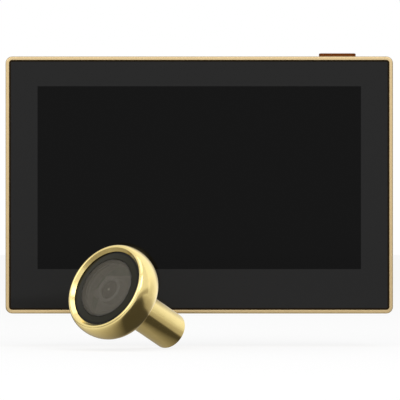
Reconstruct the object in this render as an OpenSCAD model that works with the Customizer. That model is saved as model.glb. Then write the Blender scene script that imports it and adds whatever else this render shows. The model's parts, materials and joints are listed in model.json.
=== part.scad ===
// Peephole door camera: an indoor monitor hooked on its door bracket, and the
// outdoor camera unit whose barrel goes through the door.
// Millimetres, +Z up. X runs to the right seen from the room, Y into the door.
// The origin is the middle of the bracket's hole, on the face of the door.

/* [Monitor case] */
// Width over the gold band
monitor_w = 132.6; // [128:0.2:150]
// Height over the gold band
monitor_h = 88; // [86:0.5:110]
// Depth from the gold lip to the back of the rear cover
monitor_d = 15; // [14.6:0.1:18]
// Radius of the case's corners seen from the front
corner_r = 2.3; // [1.5:0.1:6]
// Depth of the gold band along the edge of the case
band_d = 12; // [11.6:0.1:12.6]
// Width of the gold lip round the glass
lip_w = 1.25; // [0.8:0.05:2]
// Wall of the gold band behind the glass
band_wall = 1.6; // [1.2:0.1:2.4]
// How far the ledge under the glass reaches in from the lip
ledge_w = 2.3; // [1.6:0.1:3]
// Thickness of the ledge under the glass
ledge_t = 1; // [0.6:0.1:1.4]
// Back wall of the rear cover
cover_t = 1.6; // [1.2:0.1:2]
// Side wall of the rear cover
cover_wall = 1.8; // [1.4:0.1:2.4]
// Step from the gold band in to the rear cover
cover_step = 0.4; // [0.2:0.1:0.8]
// Length of the cover's tongue inside the band
tongue_l = 1.4; // [0.8:0.1:1.5]
// Thickness of the cover's tongue
tongue_t = 0.9; // [0.6:0.1:1]

/* [Screen] */
// Distance from the case's sides in to the lit picture
side_border = 10.95; // [9.5:0.05:16]
// Distance from the case's top down to the lit picture
top_border = 10.2; // [9:0.1:16]
// Distance from the case's bottom up to the lit picture
bottom_border = 15.2; // [10:0.1:20]
// Border of the display panel round the picture
panel_border = 2.2; // [1.5:0.1:2.5]
// Thickness of the display panel
panel_t = 2; // [1.8:0.1:2.4]
// Depth of the step down to the lit picture
panel_step = 0.1; // [0.05:0.05:0.3]
// Thickness of the cover glass
glass_t = 1.1; // [0.7:0.1:1.3]
// How far the glass lies behind the lip
glass_recess = 0.15; // [0:0.05:0.4]
// Width of the dark gasket line between lip and glass
gasket_w = 0.5; // [0.3:0.1:0.8]
// Thickness of the gasket under the glass
gasket_t = 0.2; // [0.1:0.05:0.4]
// Sheet of the backlight tray
tray_t = 1; // [0.6:0.1:1.2]
// Height of the tray's side walls
tray_rise = 1.4; // [0.8:0.1:1.6]

/* [Chassis and board] */
// Thickness of the chassis plate
chassis_t = 1; // [0.8:0.1:1.2]
// Width of the chassis rim that seats on the ledge
chassis_rim = 1.2; // [0.8:0.1:1.3]
// Height of the board's standoffs
standoff_h = 0.75; // [0.5:0.05:1]
// Radius of the board's standoffs
standoff_r = 2.2; // [1.8:0.1:2.6]
// Radius of the four posts that the rear cover is screwed to
post_r = 2.6; // [2.2:0.1:2.8]
// Distance of the posts from the band's inner walls
post_inset = 4; // [3.8:0.1:4.2]
// Gap from the battery to the main board
board_gap = 3.1; // [2:0.1:6]
// Height of the main board
board_h = 42; // [40:0.5:44]
// Thickness of the main board
board_t = 1; // [0.8:0.1:1.2]
// Gap from the board's right edge to the band
board_side_gap = 2.7; // [2.3:0.1:3]
// Gap from the board's top edge to the band
board_top_gap = 7; // [6.8:0.1:7.6]
// Distance of the board's screws from its edges
board_hole_inset = 3; // [2.6:0.1:3.4]
// Width, height and thickness of the battery
battery_size = [33, 58, 4.8];
// Gap from the battery to the band's left wall
battery_gap = 2.6; // [2:0.1:3]
// Width, height and thickness of the speaker
speaker_size = [24, 11, 4.6];
// Distance of the speaker's middle from the case's right side
speaker_side = 36.3; // [28:0.1:46]
// Radius of one speaker hole
speaker_hole_r = 0.6; // [0.4:0.05:0.8]
// Speaker holes in one row
speaker_holes = 8; // [4:1:9]
// Distance between speaker holes
speaker_pitch = 2.2; // [1.9:0.1:2.4]
// Radius of the microphone capsule
mic_r = 2.4; // [1.8:0.1:2.8]
// Length of the microphone capsule
mic_l = 2.2; // [1.6:0.1:3]
// Place of the microphone along the bottom edge
mic_x = -12; // [-20:0.5:6]
// Radius of the microphone hole
mic_hole_r = 0.5; // [0.3:0.05:0.8]

/* [Ports] */
// Width, thickness and length of the charging socket
usb_size = [8.94, 3.26, 7.3];
// Height of the charging socket's middle
usb_z = 4; // [0:0.5:8]
// Sheet of the charging socket's shell
usb_wall = 0.35; // [0.25:0.05:0.5]
// Width, thickness and length of the memory card socket
card_size = [14.5, 1.7, 14.2];
// Height of the memory card socket's middle
card_z = 21.5; // [19:0.5:23]
// Width and thickness of a memory card
card_gap = [11.4, 0.9];
// Room round a plug or card in the band's wall
port_clear = 0.25; // [0.15:0.05:0.4]

/* [Power button] */
// Length of the button along the top edge
button_l = 12.7; // [10:0.1:14]
// Width of the button across the top edge
button_w = 3; // [2.4:0.1:3.4]
// How far the button stands above the band
button_proud = 1.3; // [0.8:0.1:1.6]
// Distance of the button's middle from the case's right side
button_side = 18.8; // [18:0.1:24]
// How far the button goes in
button_travel = 0.6; // [0.3:0.1:0.7]
// Room round the button in its slot
button_clear = 0.15; // [0.1:0.05:0.3]
// How far the button's flange laps under the band
button_lap = 1; // [0.6:0.1:1.4]
// Thickness of the button's flange
flange_t = 0.8; // [0.6:0.1:1]
// Radius of the button's stem
stem_r = 1.2; // [0.9:0.1:1.4]
// Width, thickness and height of the switch under the button
switch_size = [6.2, 3.2, 3.6];
// How far the switch stands above the board's top edge
switch_over = 1; // [0.6:0.1:1.4]
// Radius of the switch plunger
plunger_r = 0.9; // [0.7:0.05:1]
// How far the plunger stands out of the switch
plunger_out = 1.4; // [1:0.1:1.8]
// Length of the plunger inside the switch
plunger_in = 0.8; // [0.5:0.1:1]

/* [Door bracket] */
// Width of the bracket plate
bracket_w = 72; // [70:0.5:90]
// Height of the bracket plate
bracket_h = 52; // [50:0.5:60]
// Sheet thickness of the bracket
bracket_t = 1.5; // [1.2:0.1:2]
// Radius of the bracket's corners
bracket_r = 5; // [2:0.5:6]
// Gap between bracket and monitor
bracket_gap = 0.5; // [0.4:0.1:0.8]
// Radius of the hole for the barrel's clamp bolt and ribbon
door_hole_r = 8; // [7:0.25:9]
// Radius of the bracket's screw holes
screw_hole_r = 2.1; // [1.6:0.1:2.6]
// Distance between the screw holes across
screw_pitch_x = 60; // [58:0.5:62]
// Distance between the screw holes up and down
screw_pitch_z = 38; // [34:0.5:40]
// Distance of the hooks from the middle
hook_x = 20; // [17:0.5:22]
// Height of the upper hooks' stems
hook_high = 11; // [9:0.5:13]
// Height of the lower hooks' stems
hook_low = -20; // [-21:0.5:-19]
// Width of a hook
hook_w = 8; // [6:0.5:9]
// Sheet thickness of a hook
hook_t = 1.2; // [1:0.1:1.4]
// Height of a hook's lip above its stem
hook_lip = 4; // [3:0.1:4.4]
// How far the monitor is lifted to free it
unhook_lift = 5; // [4.6:0.1:5.4]
// Room between hooks and rear cover
hook_clear = 0.3; // [0.2:0.05:0.4]
// Radius of the ribbon opening in the rear cover
ribbon_r = 11; // [9.5:0.25:12]

/* [Camera head] */
// Widest radius of the head
head_r = 16.3; // [16:0.1:19]
// Depth of the widest ring behind the window
widest_depth = 3.6; // [3.1:0.1:4.5]
// Width of the rim from the window ring out to its crest
rim_w = 1.3; // [0.9:0.05:1.5]
// How far the crest stands in front of the window
crest_rise = 0.95; // [0.4:0.05:1.2]
// Rounding between the crest and the slope inside it
crest_round = 0.5; // [0.3:0.05:0.8]
// Depth of the head's flat back behind the window
head_depth = 10.8; // [10.6:0.1:13.5]
// Radius of the head's flat back
back_r = 12.2; // [11.8:0.1:14]
// Wall at the back of the head
back_wall = 2.1; // [1.6:0.1:2.2]
// Radius of the black window ring
ring_r = 13.2; // [12.9:0.05:13.3]
// Thickness of the black window ring
ring_t = 2.1; // [1.8:0.1:2.3]
// How far the black window ring falls from the window out to its edge
ring_fall = 0.4; // [0.2:0.1:1]
// Radius of the lens window
window_r = 10.4; // [9.5:0.1:11]
// Thickness of the lens window
window_t = 1; // [0.7:0.05:1.1]
// Lap of the lens window on its ring
window_lap = 1; // [0.6:0.1:1.4]
// Thickness of the seal under the window ring
seal_t = 0.6; // [0.4:0.1:0.7]
// Width of the seal under the window ring
seal_w = 1.3; // [1:0.05:1.5]
// Wall of the spacer ring between sensor board and window ring
spacer_wall = 1.1; // [0.8:0.1:1.4]
// Width of the step that the sensor board lies on
step_w = 1.6; // [1.2:0.1:1.8]
// Thickness of the sensor board
sensor_board_t = 0.8; // [0.6:0.1:1]

/* [Lens] */
// Width and thickness of the image sensor
sensor_size = [6, 0.7];
// Width and height of the lens holder's base
holder_size = [13, 1.6];
// Height of the lens holder's tube
holder_tube = 1.4; // [1.1:0.1:1.5]
// Wall of the lens holder's tube
holder_wall = 1; // [0.8:0.1:1.4]
// Radius of the lens barrel
lens_r = 4.6; // [4.2:0.1:5]
// Length of the lens barrel
lens_l = 3.2; // [1.8:0.05:3.4]
// Radius of the front lens
front_lens_r = 3.3; // [2.8:0.1:3.6]
// Rise of the front lens's dome
front_dome = 0.6; // [0.3:0.05:0.7]
// Edge thickness of the front lens
front_edge = 0.4; // [0.3:0.05:0.6]
// Radius of the rear lens
rear_lens_r = 2; // [1.6:0.1:2.4]
// Thickness of the rear lens
rear_lens_t = 0.7; // [0.4:0.1:0.8]
// Radius of the filter glass
filter_r = 3.6; // [3.2:0.1:4]
// Thickness of the filter glass
filter_t = 0.35; // [0.25:0.05:0.5]

/* [Barrel] */
// Outer radius of the barrel
barrel_r = 6.35; // [6:0.05:7]
// Distance from the window to the barrel's end
barrel_reach = 36.6; // [34.5:0.1:60.5]
// Rounding of the barrel's end
barrel_round = 0.6; // [0.3:0.1:0.9]
// Radius of the threaded hole in the barrel's end
thread_r = 5; // [4.6:0.05:5.2]
// Depth of the threaded hole
thread_l = 20; // [14:0.5:21]
// Radius of the ribbon's way through the barrel
cable_r = 3.4; // [2.8:0.1:3.8]
// Depth of the groove round the barrel's neck under the gasket
neck_depth = 0.35; // [0.2:0.05:0.6]
// Radius of the barrel's spigot in the head
spigot_r = 5.2; // [4.8:0.05:5.4]
// Radius across the corners of the lock nut
nut_r = 8.2; // [7.6:0.1:9]
// Thickness of the lock nut
nut_t = 1.2; // [0.9:0.1:1.3]
// Radius of the rubber gasket against the door
gasket_r = 11.5; // [10:0.1:11.7]
// Thickness of the rubber gasket against the door
door_gasket_t = 1; // [0.6:0.1:1.6]
// Length of the ribbon's grommet
grommet_l = 3; // [2:0.1:4]
// Width and thickness of the ribbon's slot in the grommet
ribbon_slot = [5, 0.6];

/* [Arrangement] */
// Window's middle to the left of the monitor's middle
camera_left = 31; // [0:0.1:60]
// Window's middle in front of the monitor's lip
camera_ahead = 39.3; // [38:0.1:80]
// Window's middle below the monitor's middle
camera_below = 34.3; // [20:0.1:60]
// How far the camera looks to the left
camera_yaw = 39.7; // [30:0.1:45]
// How far the camera looks up
camera_pitch = 24.8; // [20:0.1:30]

/* [Hidden] */

$fn = 48;
turned_fn = 96;
arc_steps = 10;
eps = 1;
least_r = 0.2;

gold = [0.85, 0.74, 0.46];
copper = [0.55, 0.33, 0.18];
black = [0.12, 0.12, 0.12];
steel = [0.72, 0.72, 0.72];
board_green = [0.1, 0.3, 0.2];
smoke = [0.36, 0.35, 0.33];
clear_glass = [0.7, 0.8, 0.85];

// Screws and clearances shared by several pieces
screw_r = 0.8;
pilot_r = 0.9;
through_r = 1.1;
small_head_r = 1.9;
small_head_t = 0.9;
cover_head_r = 2.2;
cover_head_t = 0.8;
head_room = 0.3;
seat_clear = 0.15;
fit_clear = 0.05;

// Depths through the monitor, from the door to the glass
y_back = -(bracket_t + bracket_gap);
y_wall = y_back - cover_t;
y_front = y_back - monitor_d;
y_band = y_front + band_d;
y_glass = y_front + glass_recess;
y_panel = y_glass + glass_t;
y_ledge = y_panel + gasket_t;
y_rim = y_ledge + ledge_t;
y_tray = y_panel + panel_t;
y_chassis = y_tray + tray_t;
y_shelf = y_chassis + chassis_t;
y_board = y_shelf + standoff_h;
y_parts = y_board + board_t;

// Outlines of the case, each as [width, height]
outer = [monitor_w, monitor_h];
seat = outer - 2 * [lip_w, lip_w];
ledge_hole = seat - 2 * [ledge_w, ledge_w];
inside = outer - 2 * [band_wall, band_wall];
glass = seat - 2 * [gasket_w, gasket_w];
chassis_size = inside - 2 * [seat_clear, seat_clear];
cover_size = outer - 2 * [cover_step, cover_step];
cover_inside = cover_size - 2 * [cover_wall, cover_wall];
tongue_size = inside - 2 * [seat_clear, seat_clear];
screen = outer - [2 * side_border, top_border + bottom_border];
screen_rise = (bottom_border - top_border) / 2;
panel_size = screen + 2 * [panel_border, panel_border];
tray_size = panel_size + 2 * [tray_t, tray_t];

// Places inside the monitor
inner_x = inside[0] / 2;
inner_z = inside[1] / 2;
post_places = [for (sx = [-1, 1], sz = [-1, 1]) [sx * (inner_x - post_inset), sz * (inner_z - post_inset)]];
board_left = battery_gap + battery_size[0] + board_gap - inner_x;
board_right = inner_x - board_side_gap;
board_w = board_right - board_left;
board_top = inner_z - board_top_gap;
board_mid = [(board_left + board_right) / 2, board_top - board_h / 2];
board_holes = [for (sx = [-1, 1], sz = [-1, 1])
  board_mid + [sx * (board_w / 2 - board_hole_inset), sz * (board_h / 2 - board_hole_inset)]];
port_x = inner_x - seat_clear;
battery_mid_x = -inner_x + battery_gap + battery_size[0] / 2;
speaker_x = outer[0] / 2 - speaker_side;
speaker_low = -inner_z + seat_clear;
button_x = outer[0] / 2 - button_side;
button_y = y_parts + switch_size[1] / 2;
flange_top = inner_z - seat_clear;
switch_top = board_top + switch_over;
hook_y = y_wall - hook_clear;
hook_heights = [hook_low, hook_high];

// Rim of the speaker round its cone, and the battery's corners
speaker_rim = 0.8;
battery_r = 1.5;

// Parts on the board: places as [in from the board's side, down from its top],
// sizes as [width, height, thickness]
shield_spot = [37, 17.4];
shield_size = [22, 20, 2.2];
shield_wall = 0.4;
ribbon_socket_size = [16, 4.5, 2.2];
ribbon_mouth = [13, 0.7, 1.4];
flex_w = 16;
flex_t = 0.3;
flex_x = 22;
flex_drop = 1.6;
flex_room = 1;
display_socket_size = [18, 3.4, 1.4];
display_socket_z = board_mid[1] - board_h / 2 + 1.2;
left_chips = [
  [[13, 11.4], [9, 9, 0.9]],
  [[10, 24.4], [5, 5, 2]],
  [[18, 24.4], [5, 5, 2]]
];
right_chips = [
  [[18, 21.4], [8, 6, 1]],
  [[18, 34.4], [6, 5, 1]]
];

// Slope inside the rim, in degrees
rim_slope = 45;

// Depths inside the camera head, measured along its axis from the window
z_ring = -ring_t;
z_ledge = z_ring - seal_t;
z_back = -head_depth;
z_neck = z_back - door_gasket_t;
z_floor = z_back + back_wall;
z_nut = z_floor + nut_t;
z_step = z_nut + seat_clear;
z_sensor = z_step + sensor_board_t;
z_holder = z_sensor + holder_size[1];
z_lens = z_holder + filter_t;
z_lens_front = z_lens + lens_l;
z_front_seat = z_lens_front - front_edge - front_dome;
z_end = -barrel_reach;
z_thread = z_end + thread_l;
ring_seat_r = ring_r + fit_clear;
crest_r = ring_seat_r + rim_w;
cavity_r = ring_r - seal_w;
neck_r = barrel_r - neck_depth;
board_r = cavity_r - fit_clear;
spigot_hole_r = spigot_r + fit_clear;
ear_x = holder_size[0] / 2 + small_head_r * 0.5;

// Extrudes a shape drawn as seen from the room, from depth y0 back to y1
module slab(y0, y1) {
  translate([0, y1, 0]) rotate([90, 0, 0]) linear_extrude(y1 - y0) children();
}

// A rectangle with round corners
module round_rect(size, r) {
  corner = max(least_r, r);
  square([size[0] - 2 * corner, size[1]], center = true);
  square([size[0], size[1] - 2 * corner], center = true);
  for (sx = [-1, 1], sy = [-1, 1])
    translate([sx * (size[0] / 2 - corner), sy * (size[1] / 2 - corner)]) circle(corner);
}

// A bar with round ends
module stadium(l, w) {
  square([l - w, w], center = true);
  for (s = [-1, 1]) translate([s * (l - w) / 2, 0]) circle(d = w);
}

// A block on the board: place and size as [x, z] and [width, height, thickness]
module on_board(place, size) {
  slab(y_parts, y_parts + size[2]) translate(place) square([size[0], size[1]], center = true);
}

// A round bar through the monitor from depth y0 to y1
module bar_y(place, r, y0, y1) {
  slab(y0, y1) translate(place) circle(r);
}

// Turns a half outline about the camera's axis
module turned() {
  rotate_extrude($fn = turned_fn) children();
}

// A ring on the camera's axis
module ring(r_out, r_in, z0, z1) {
  turned() translate([r_in, z0]) square([r_out - r_in, z1 - z0]);
}

// Sets a piece of the camera unit where it stands, looking along local +Z
module camera_place() {
  translate([-camera_left, y_front - camera_ahead, -camera_below])
    rotate([90 - camera_pitch, 0, -camera_yaw]) children();
}

// Places on the board, measured from its left or right side and from its top
function from_left(spot) = [board_left + spot[0], board_top - spot[1]];
function from_right(spot) = [board_right - spot[0], board_top - spot[1]];

// Points of an elliptic arc about [r, z], from angle a0 to a1
function arc(mid, radii, a0, a1) =
  [for (i = [0 : arc_steps]) let (a = a0 + (a1 - a0) * i / arc_steps)
    mid + [radii[0] * cos(a), radii[1] * sin(a)]];

module door_bracket() {
  color(steel) difference() {
    slab(-bracket_t, 0) round_rect([bracket_w, bracket_h], bracket_r);
    bar_y([0, 0], door_hole_r, -bracket_t - eps, eps);
    for (sx = [-1, 1], sz = [-1, 1])
      bar_y([sx * screw_pitch_x / 2, sz * screw_pitch_z / 2], screw_hole_r, -bracket_t - eps, eps);
    for (sx = [-1, 1], hz = hook_heights)
      slab(-bracket_t - eps, eps)
        translate([sx * hook_x - hook_w / 2, hz + hook_t]) square([hook_w, hook_lip + hook_t]);
  }
}

// Hooks turned out of the plate's windows: a stem with a lip that points up
module bracket_hooks() {
  stem_end = hook_y - hook_t;
  color(steel) for (sx = [-1, 1], hz = hook_heights) translate([sx * hook_x - hook_w / 2, 0, hz]) {
    slab(stem_end, -bracket_t) square([hook_w, hook_t]);
    slab(stem_end, hook_y) square([hook_w, hook_t + hook_lip]);
  }
}

module front_frame() {
  color(gold) difference() {
    slab(y_front, y_band) round_rect(outer, corner_r);
    slab(y_front - eps, y_ledge) round_rect(seat, corner_r - lip_w);
    slab(y_ledge - eps, y_rim + eps) round_rect(ledge_hole, least_r);
    slab(y_rim, y_band + eps) round_rect(inside, corner_r - band_wall);
    translate([button_x, button_y, inner_z - eps])
      linear_extrude(band_wall + 2 * eps) stadium(button_l + 2 * button_clear, button_w + 2 * button_clear);
    speaker_rows();
    translate([mic_x, y_shelf + mic_r, -outer[1] / 2 - eps])
      cylinder(r = mic_hole_r, h = band_wall + 2 * eps);
    port_cut(usb_z, usb_size[1] / 2)
      stadium(usb_size[0] + 2 * port_clear, usb_size[1] + 2 * port_clear);
    port_cut(card_z, card_size[1] / 2)
      square(card_gap + 2 * [port_clear, port_clear], center = true);
  }
}

// Rows of round holes in front of the speaker, through the bottom wall
module speaker_rows() {
  mid_y = y_shelf + speaker_size[2] / 2;
  for (i = [0 : speaker_holes - 1], row = [-0.5, 0.5])
    translate([speaker_x + (i - (speaker_holes - 1) / 2) * speaker_pitch, mid_y + row * speaker_pitch,
      -outer[1] / 2 - eps])
      cylinder(r = speaker_hole_r, h = band_wall + 2 * eps, $fn = 24);
}

// An opening through the band's right wall, drawn with its width along X
module port_cut(z, above_board) {
  translate([inner_x - eps, y_parts + above_board, z]) rotate([0, 90, 0])
    linear_extrude(band_wall + 2 * eps) children();
}

module glass_gasket() {
  color(black) difference() {
    slab(y_glass + glass_recess, y_ledge) round_rect(seat, corner_r - lip_w);
    slab(y_glass, y_panel) round_rect(glass, corner_r - lip_w - gasket_w);
    slab(y_panel - eps, y_ledge + eps) round_rect(ledge_hole, least_r);
  }
}

module cover_glass() {
  color(black) slab(y_glass, y_panel) round_rect(glass, corner_r - lip_w - gasket_w);
}

module display_panel() {
  color([0.1, 0.1, 0.11]) difference() {
    slab(y_panel, y_tray) translate([0, screen_rise]) square(panel_size, center = true);
    slab(y_panel - eps, y_panel + panel_step)
      translate([0, screen_rise]) square(screen, center = true);
  }
}

module backlight_tray() {
  color(steel) difference() {
    slab(y_tray - tray_rise, y_chassis) translate([0, screen_rise]) square(tray_size, center = true);
    slab(y_tray - tray_rise - eps, y_tray) translate([0, screen_rise]) square(panel_size, center = true);
  }
}

module display_flex() {
  low = board_mid[1] - board_h / 2 - flex_drop;
  socket_low = display_socket_z;
  color([0.7, 0.45, 0.15]) {
    slab(y_chassis, y_parts + flex_t) translate([flex_x - flex_w / 2, low - flex_t]) square([flex_w, flex_t]);
    slab(y_parts, y_parts + flex_t)
      translate([flex_x - flex_w / 2, low - flex_t]) square([flex_w, socket_low - low + flex_t]);
  }
}

module display_socket() {
  color(black)
    on_board([flex_x, display_socket_z + display_socket_size[1] / 2], display_socket_size);
}

module chassis() {
  flex_z = board_mid[1] - board_h / 2 - flex_drop - flex_t / 2;
  color(black) difference() {
    union() {
      slab(y_chassis, y_shelf) round_rect(chassis_size, corner_r - band_wall);
      difference() {
        slab(y_rim, y_chassis) round_rect(chassis_size, corner_r - band_wall);
        slab(y_rim - eps, y_chassis + eps)
          square(chassis_size - 2 * [chassis_rim, chassis_rim], center = true);
      }
      for (p = post_places) bar_y(p, post_r, y_shelf, y_wall);
      for (p = board_holes) bar_y(p, standoff_r, y_shelf, y_board);
    }
    for (p = post_places) bar_y(p, pilot_r, y_shelf, y_wall + eps);
    for (p = board_holes) bar_y(p, pilot_r, y_chassis - eps, y_board + eps);
    slab(y_chassis - eps, y_shelf + eps)
      translate([flex_x, flex_z]) square([flex_w, flex_t] + [flex_room, flex_room], center = true);
  }
}

module main_board() {
  color(board_green) difference() {
    slab(y_board, y_parts) translate(board_mid) square([board_w, board_h], center = true);
    for (p = board_holes) bar_y(p, through_r, y_board - eps, y_parts + eps);
  }
}

module board_screws() {
  color(steel) for (p = board_holes) {
    bar_y(p, small_head_r, y_parts, y_parts + small_head_t);
    bar_y(p, screw_r, y_chassis, y_parts);
  }
}

module processor_shield() {
  color(steel) difference() {
    on_board(from_right(shield_spot), shield_size);
    slab(y_parts - eps, y_parts + shield_size[2] - shield_wall)
      translate(from_right(shield_spot))
        square([shield_size[0], shield_size[1]] - 2 * [shield_wall, shield_wall], center = true);
  }
}

module board_chips() {
  color(black) {
    for (chip = left_chips) on_board(from_left(chip[0]), chip[1]);
    for (chip = right_chips) on_board(from_right(chip[0]), chip[1]);
  }
}

module ribbon_socket() {
  back = y_parts + ribbon_socket_size[2];
  color(smoke) difference() {
    on_board([0, 0], ribbon_socket_size);
    slab(back - ribbon_mouth[2], back + eps) square([ribbon_mouth[0], ribbon_mouth[1]], center = true);
  }
}

// A socket shell at the board's right edge, open towards the band
module port_shell(z, size, mouth, wall) {
  difference() {
    translate([port_x - size[2], y_parts, z - size[0] / 2]) cube([size[2], size[1], size[0]]);
    translate([port_x - size[2] + wall, y_parts + size[1] / 2 - mouth[1] / 2, z - mouth[0] / 2])
      cube([size[2], mouth[1], mouth[0]]);
  }
}

module usb_socket() {
  color(steel)
    port_shell(usb_z, usb_size, [usb_size[0] - 2 * usb_wall, usb_size[1] - 2 * usb_wall], usb_wall);
}

module card_socket() {
  color(steel) port_shell(card_z, card_size, card_gap, usb_wall);
}

module power_switch() {
  color(smoke) difference() {
    translate([button_x - switch_size[0] / 2, y_parts, switch_top - switch_size[2]])
      cube([switch_size[0], switch_size[1], switch_size[2]]);
    translate([button_x, button_y, switch_top - plunger_in - button_travel - seat_clear])
      cylinder(r = plunger_r + fit_clear, h = switch_size[2]);
  }
}

module speaker() {
  grille = [speaker_size[0], speaker_size[2]] - 2 * [speaker_rim, speaker_rim];
  color(black) difference() {
    translate([speaker_x - speaker_size[0] / 2, y_shelf, speaker_low])
      cube([speaker_size[0], speaker_size[2], speaker_size[1]]);
    translate([speaker_x, y_shelf + speaker_size[2] / 2, speaker_low - eps])
      linear_extrude(eps + speaker_rim) stadium(grille[0], grille[1]);
  }
}

module microphone() {
  color(steel) translate([mic_x, y_shelf + mic_r, -inner_z + seat_clear]) cylinder(r = mic_r, h = mic_l);
}

module battery_pack() {
  color([0.75, 0.76, 0.78])
    slab(y_shelf, y_shelf + battery_size[2])
      translate([battery_mid_x, 0]) round_rect([battery_size[0], battery_size[1]], battery_r);
}

module rear_cover() {
  color(black) difference() {
    union() {
      slab(y_band, y_back) round_rect(cover_size, corner_r - cover_step);
      slab(y_band - tongue_l, y_band) round_rect(tongue_size, corner_r - band_wall);
    }
    slab(y_band - tongue_l - eps, y_band)
      square(tongue_size - 2 * [tongue_t, tongue_t], center = true);
    slab(y_band - eps, y_wall) square([
      min(cover_inside[0], tongue_size[0] - 2 * tongue_t),
      min(cover_inside[1], tongue_size[1] - 2 * tongue_t)], center = true);
    bar_y([0, 0], ribbon_r, y_wall - eps, y_back + eps);
    button_notch();
    for (sx = [-1, 1], hz = hook_heights)
      slab(y_wall - eps, y_back + eps)
        translate([sx * hook_x - hook_w / 2 - hook_clear, hz - unhook_lift - hook_clear])
          square([hook_w + 2 * hook_clear, unhook_lift + hook_t + hook_clear + seat_clear]);
    for (p = post_places) {
      bar_y(p, through_r, y_wall - eps, y_back + eps);
      bar_y(p, cover_head_r + head_room, y_back - cover_head_t, y_back + eps);
    }
  }
}

// Room for the power button's flange in the cover's tongue
module button_notch() {
  notch_l = button_l + 2 * (button_lap + button_clear);
  translate([button_x - notch_l / 2, y_band - tongue_l - eps, inner_z - 2 * tongue_t])
    cube([notch_l, tongue_l + eps, 2 * tongue_t]);
}

module cover_screws() {
  color(steel) for (p = post_places) {
    bar_y(p, cover_head_r, y_back - cover_head_t, y_back);
    bar_y(p, screw_r, y_shelf + eps, y_back - cover_head_t);
  }
}

module power_button() {
  plunger_top = switch_top + plunger_out;
  flange_low = flange_top - flange_t;
  color(copper) translate([button_x, button_y, 0]) {
    translate([0, 0, flange_low])
      linear_extrude(flange_t) stadium(button_l + 2 * button_lap, button_w + 2 * button_lap);
    translate([0, 0, flange_low])
      linear_extrude(outer[1] / 2 + button_proud - flange_low) stadium(button_l, button_w);
    translate([0, 0, plunger_top]) cylinder(r = stem_r, h = flange_low - plunger_top);
  }
}

module switch_plunger() {
  color(black) translate([button_x, button_y, switch_top - plunger_in])
    cylinder(r = plunger_r, h = plunger_in + plunger_out);
}

module head_shell() {
  widest = -widest_depth;
  slope_w = rim_w - crest_round * sin(rim_slope);
  crest_foot = crest_rise - crest_round * (1 - cos(rim_slope)) - slope_w * tan(rim_slope);
  color(gold) camera_place() turned() polygon(concat(
    [[spigot_hole_r, z_back]],
    arc([back_r, widest], [head_r - back_r, head_depth - widest_depth], -90, 0),
    arc([crest_r, widest], [head_r - crest_r, crest_rise + widest_depth], 0, 90),
    arc([crest_r, crest_rise - crest_round], [crest_round, crest_round], 90, 90 + rim_slope),
    [[ring_seat_r, crest_foot], [ring_seat_r, z_ledge], [cavity_r, z_ledge], [cavity_r, z_step],
     [cavity_r - step_w, z_step], [cavity_r - step_w, z_floor], [spigot_hole_r, z_floor]]));
}

module window_ring() {
  color(black) camera_place() turned() polygon([
    [ring_r, z_ring], [ring_r, -ring_fall], [window_r + fit_clear, 0], [window_r + fit_clear, -window_t],
    [window_r - window_lap, -window_t], [window_r - window_lap, z_ring]]);
}

module lens_window() {
  color(smoke) camera_place()
    translate([0, 0, -window_t]) cylinder(r = window_r, h = window_t, $fn = turned_fn);
}

module window_seal() {
  color(black) camera_place() ring(ring_r, cavity_r + fit_clear, z_ledge, z_ring);
}

module spacer_ring() {
  color(black) camera_place() ring(board_r, board_r - spacer_wall, z_sensor, z_ring);
}

module lens_barrel() {
  color(black) camera_place() turned() polygon([
    [lens_r, z_lens], [lens_r, z_lens_front], [front_lens_r + 2 * fit_clear, z_lens_front],
    [front_lens_r + fit_clear, z_front_seat], [rear_lens_r + fit_clear, z_front_seat],
    [rear_lens_r + fit_clear, z_lens]]);
}

module lens_front_element() {
  color(clear_glass) camera_place() turned() polygon(concat(
    [[0, z_front_seat], [front_lens_r, z_front_seat]],
    arc([0, z_front_seat + front_edge], [front_lens_r, front_dome], 0, 90)));
}

module lens_rear_element() {
  color(clear_glass) camera_place() translate([0, 0, z_lens]) cylinder(r = rear_lens_r, h = rear_lens_t);
}

module filter_glass() {
  color(clear_glass) camera_place() translate([0, 0, z_holder]) cylinder(r = filter_r, h = filter_t);
}

module lens_holder() {
  base = holder_size[0];
  room = sensor_size[0] + 2 * head_room;
  light_r = rear_lens_r + 2 * fit_clear;
  color(black) camera_place() difference() {
    union() {
      translate([-base / 2, -base / 2, z_sensor]) cube([base, base, holder_size[1]]);
      for (s = [-1, 1])
        translate([s * ear_x, 0, z_sensor]) cylinder(r = small_head_r, h = holder_size[1] / 2);
      translate([0, 0, z_holder]) cylinder(r = lens_r + fit_clear + holder_wall, h = holder_tube);
    }
    translate([0, 0, z_holder]) cylinder(r = lens_r + fit_clear, h = holder_tube + eps);
    translate([0, 0, z_sensor - eps]) cylinder(r = light_r, h = holder_size[1] + 2 * eps);
    translate([-room / 2, -room / 2, z_sensor - eps]) cube([room, room, sensor_size[1] + head_room + eps]);
    for (s = [-1, 1])
      translate([s * ear_x, 0, z_sensor - eps]) cylinder(r = pilot_r, h = holder_size[1] + eps);
    for (s = [-1, 1])
      translate([s * ear_x, 0, z_sensor + holder_size[1] / 2]) cylinder(r = small_head_r, h = holder_size[1]);
  }
}

module holder_screws() {
  seat_z = z_sensor + holder_size[1] / 2;
  color(steel) camera_place() for (s = [-1, 1]) translate([s * ear_x, 0, 0]) {
    translate([0, 0, seat_z]) cylinder(r = small_head_r - fit_clear, h = small_head_t);
    translate([0, 0, z_step]) cylinder(r = screw_r, h = seat_z - z_step);
  }
}

module image_sensor() {
  size = sensor_size[0];
  color([0.2, 0.25, 0.35]) camera_place()
    translate([-size / 2, -size / 2, z_sensor]) cube([size, size, sensor_size[1]]);
}

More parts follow.
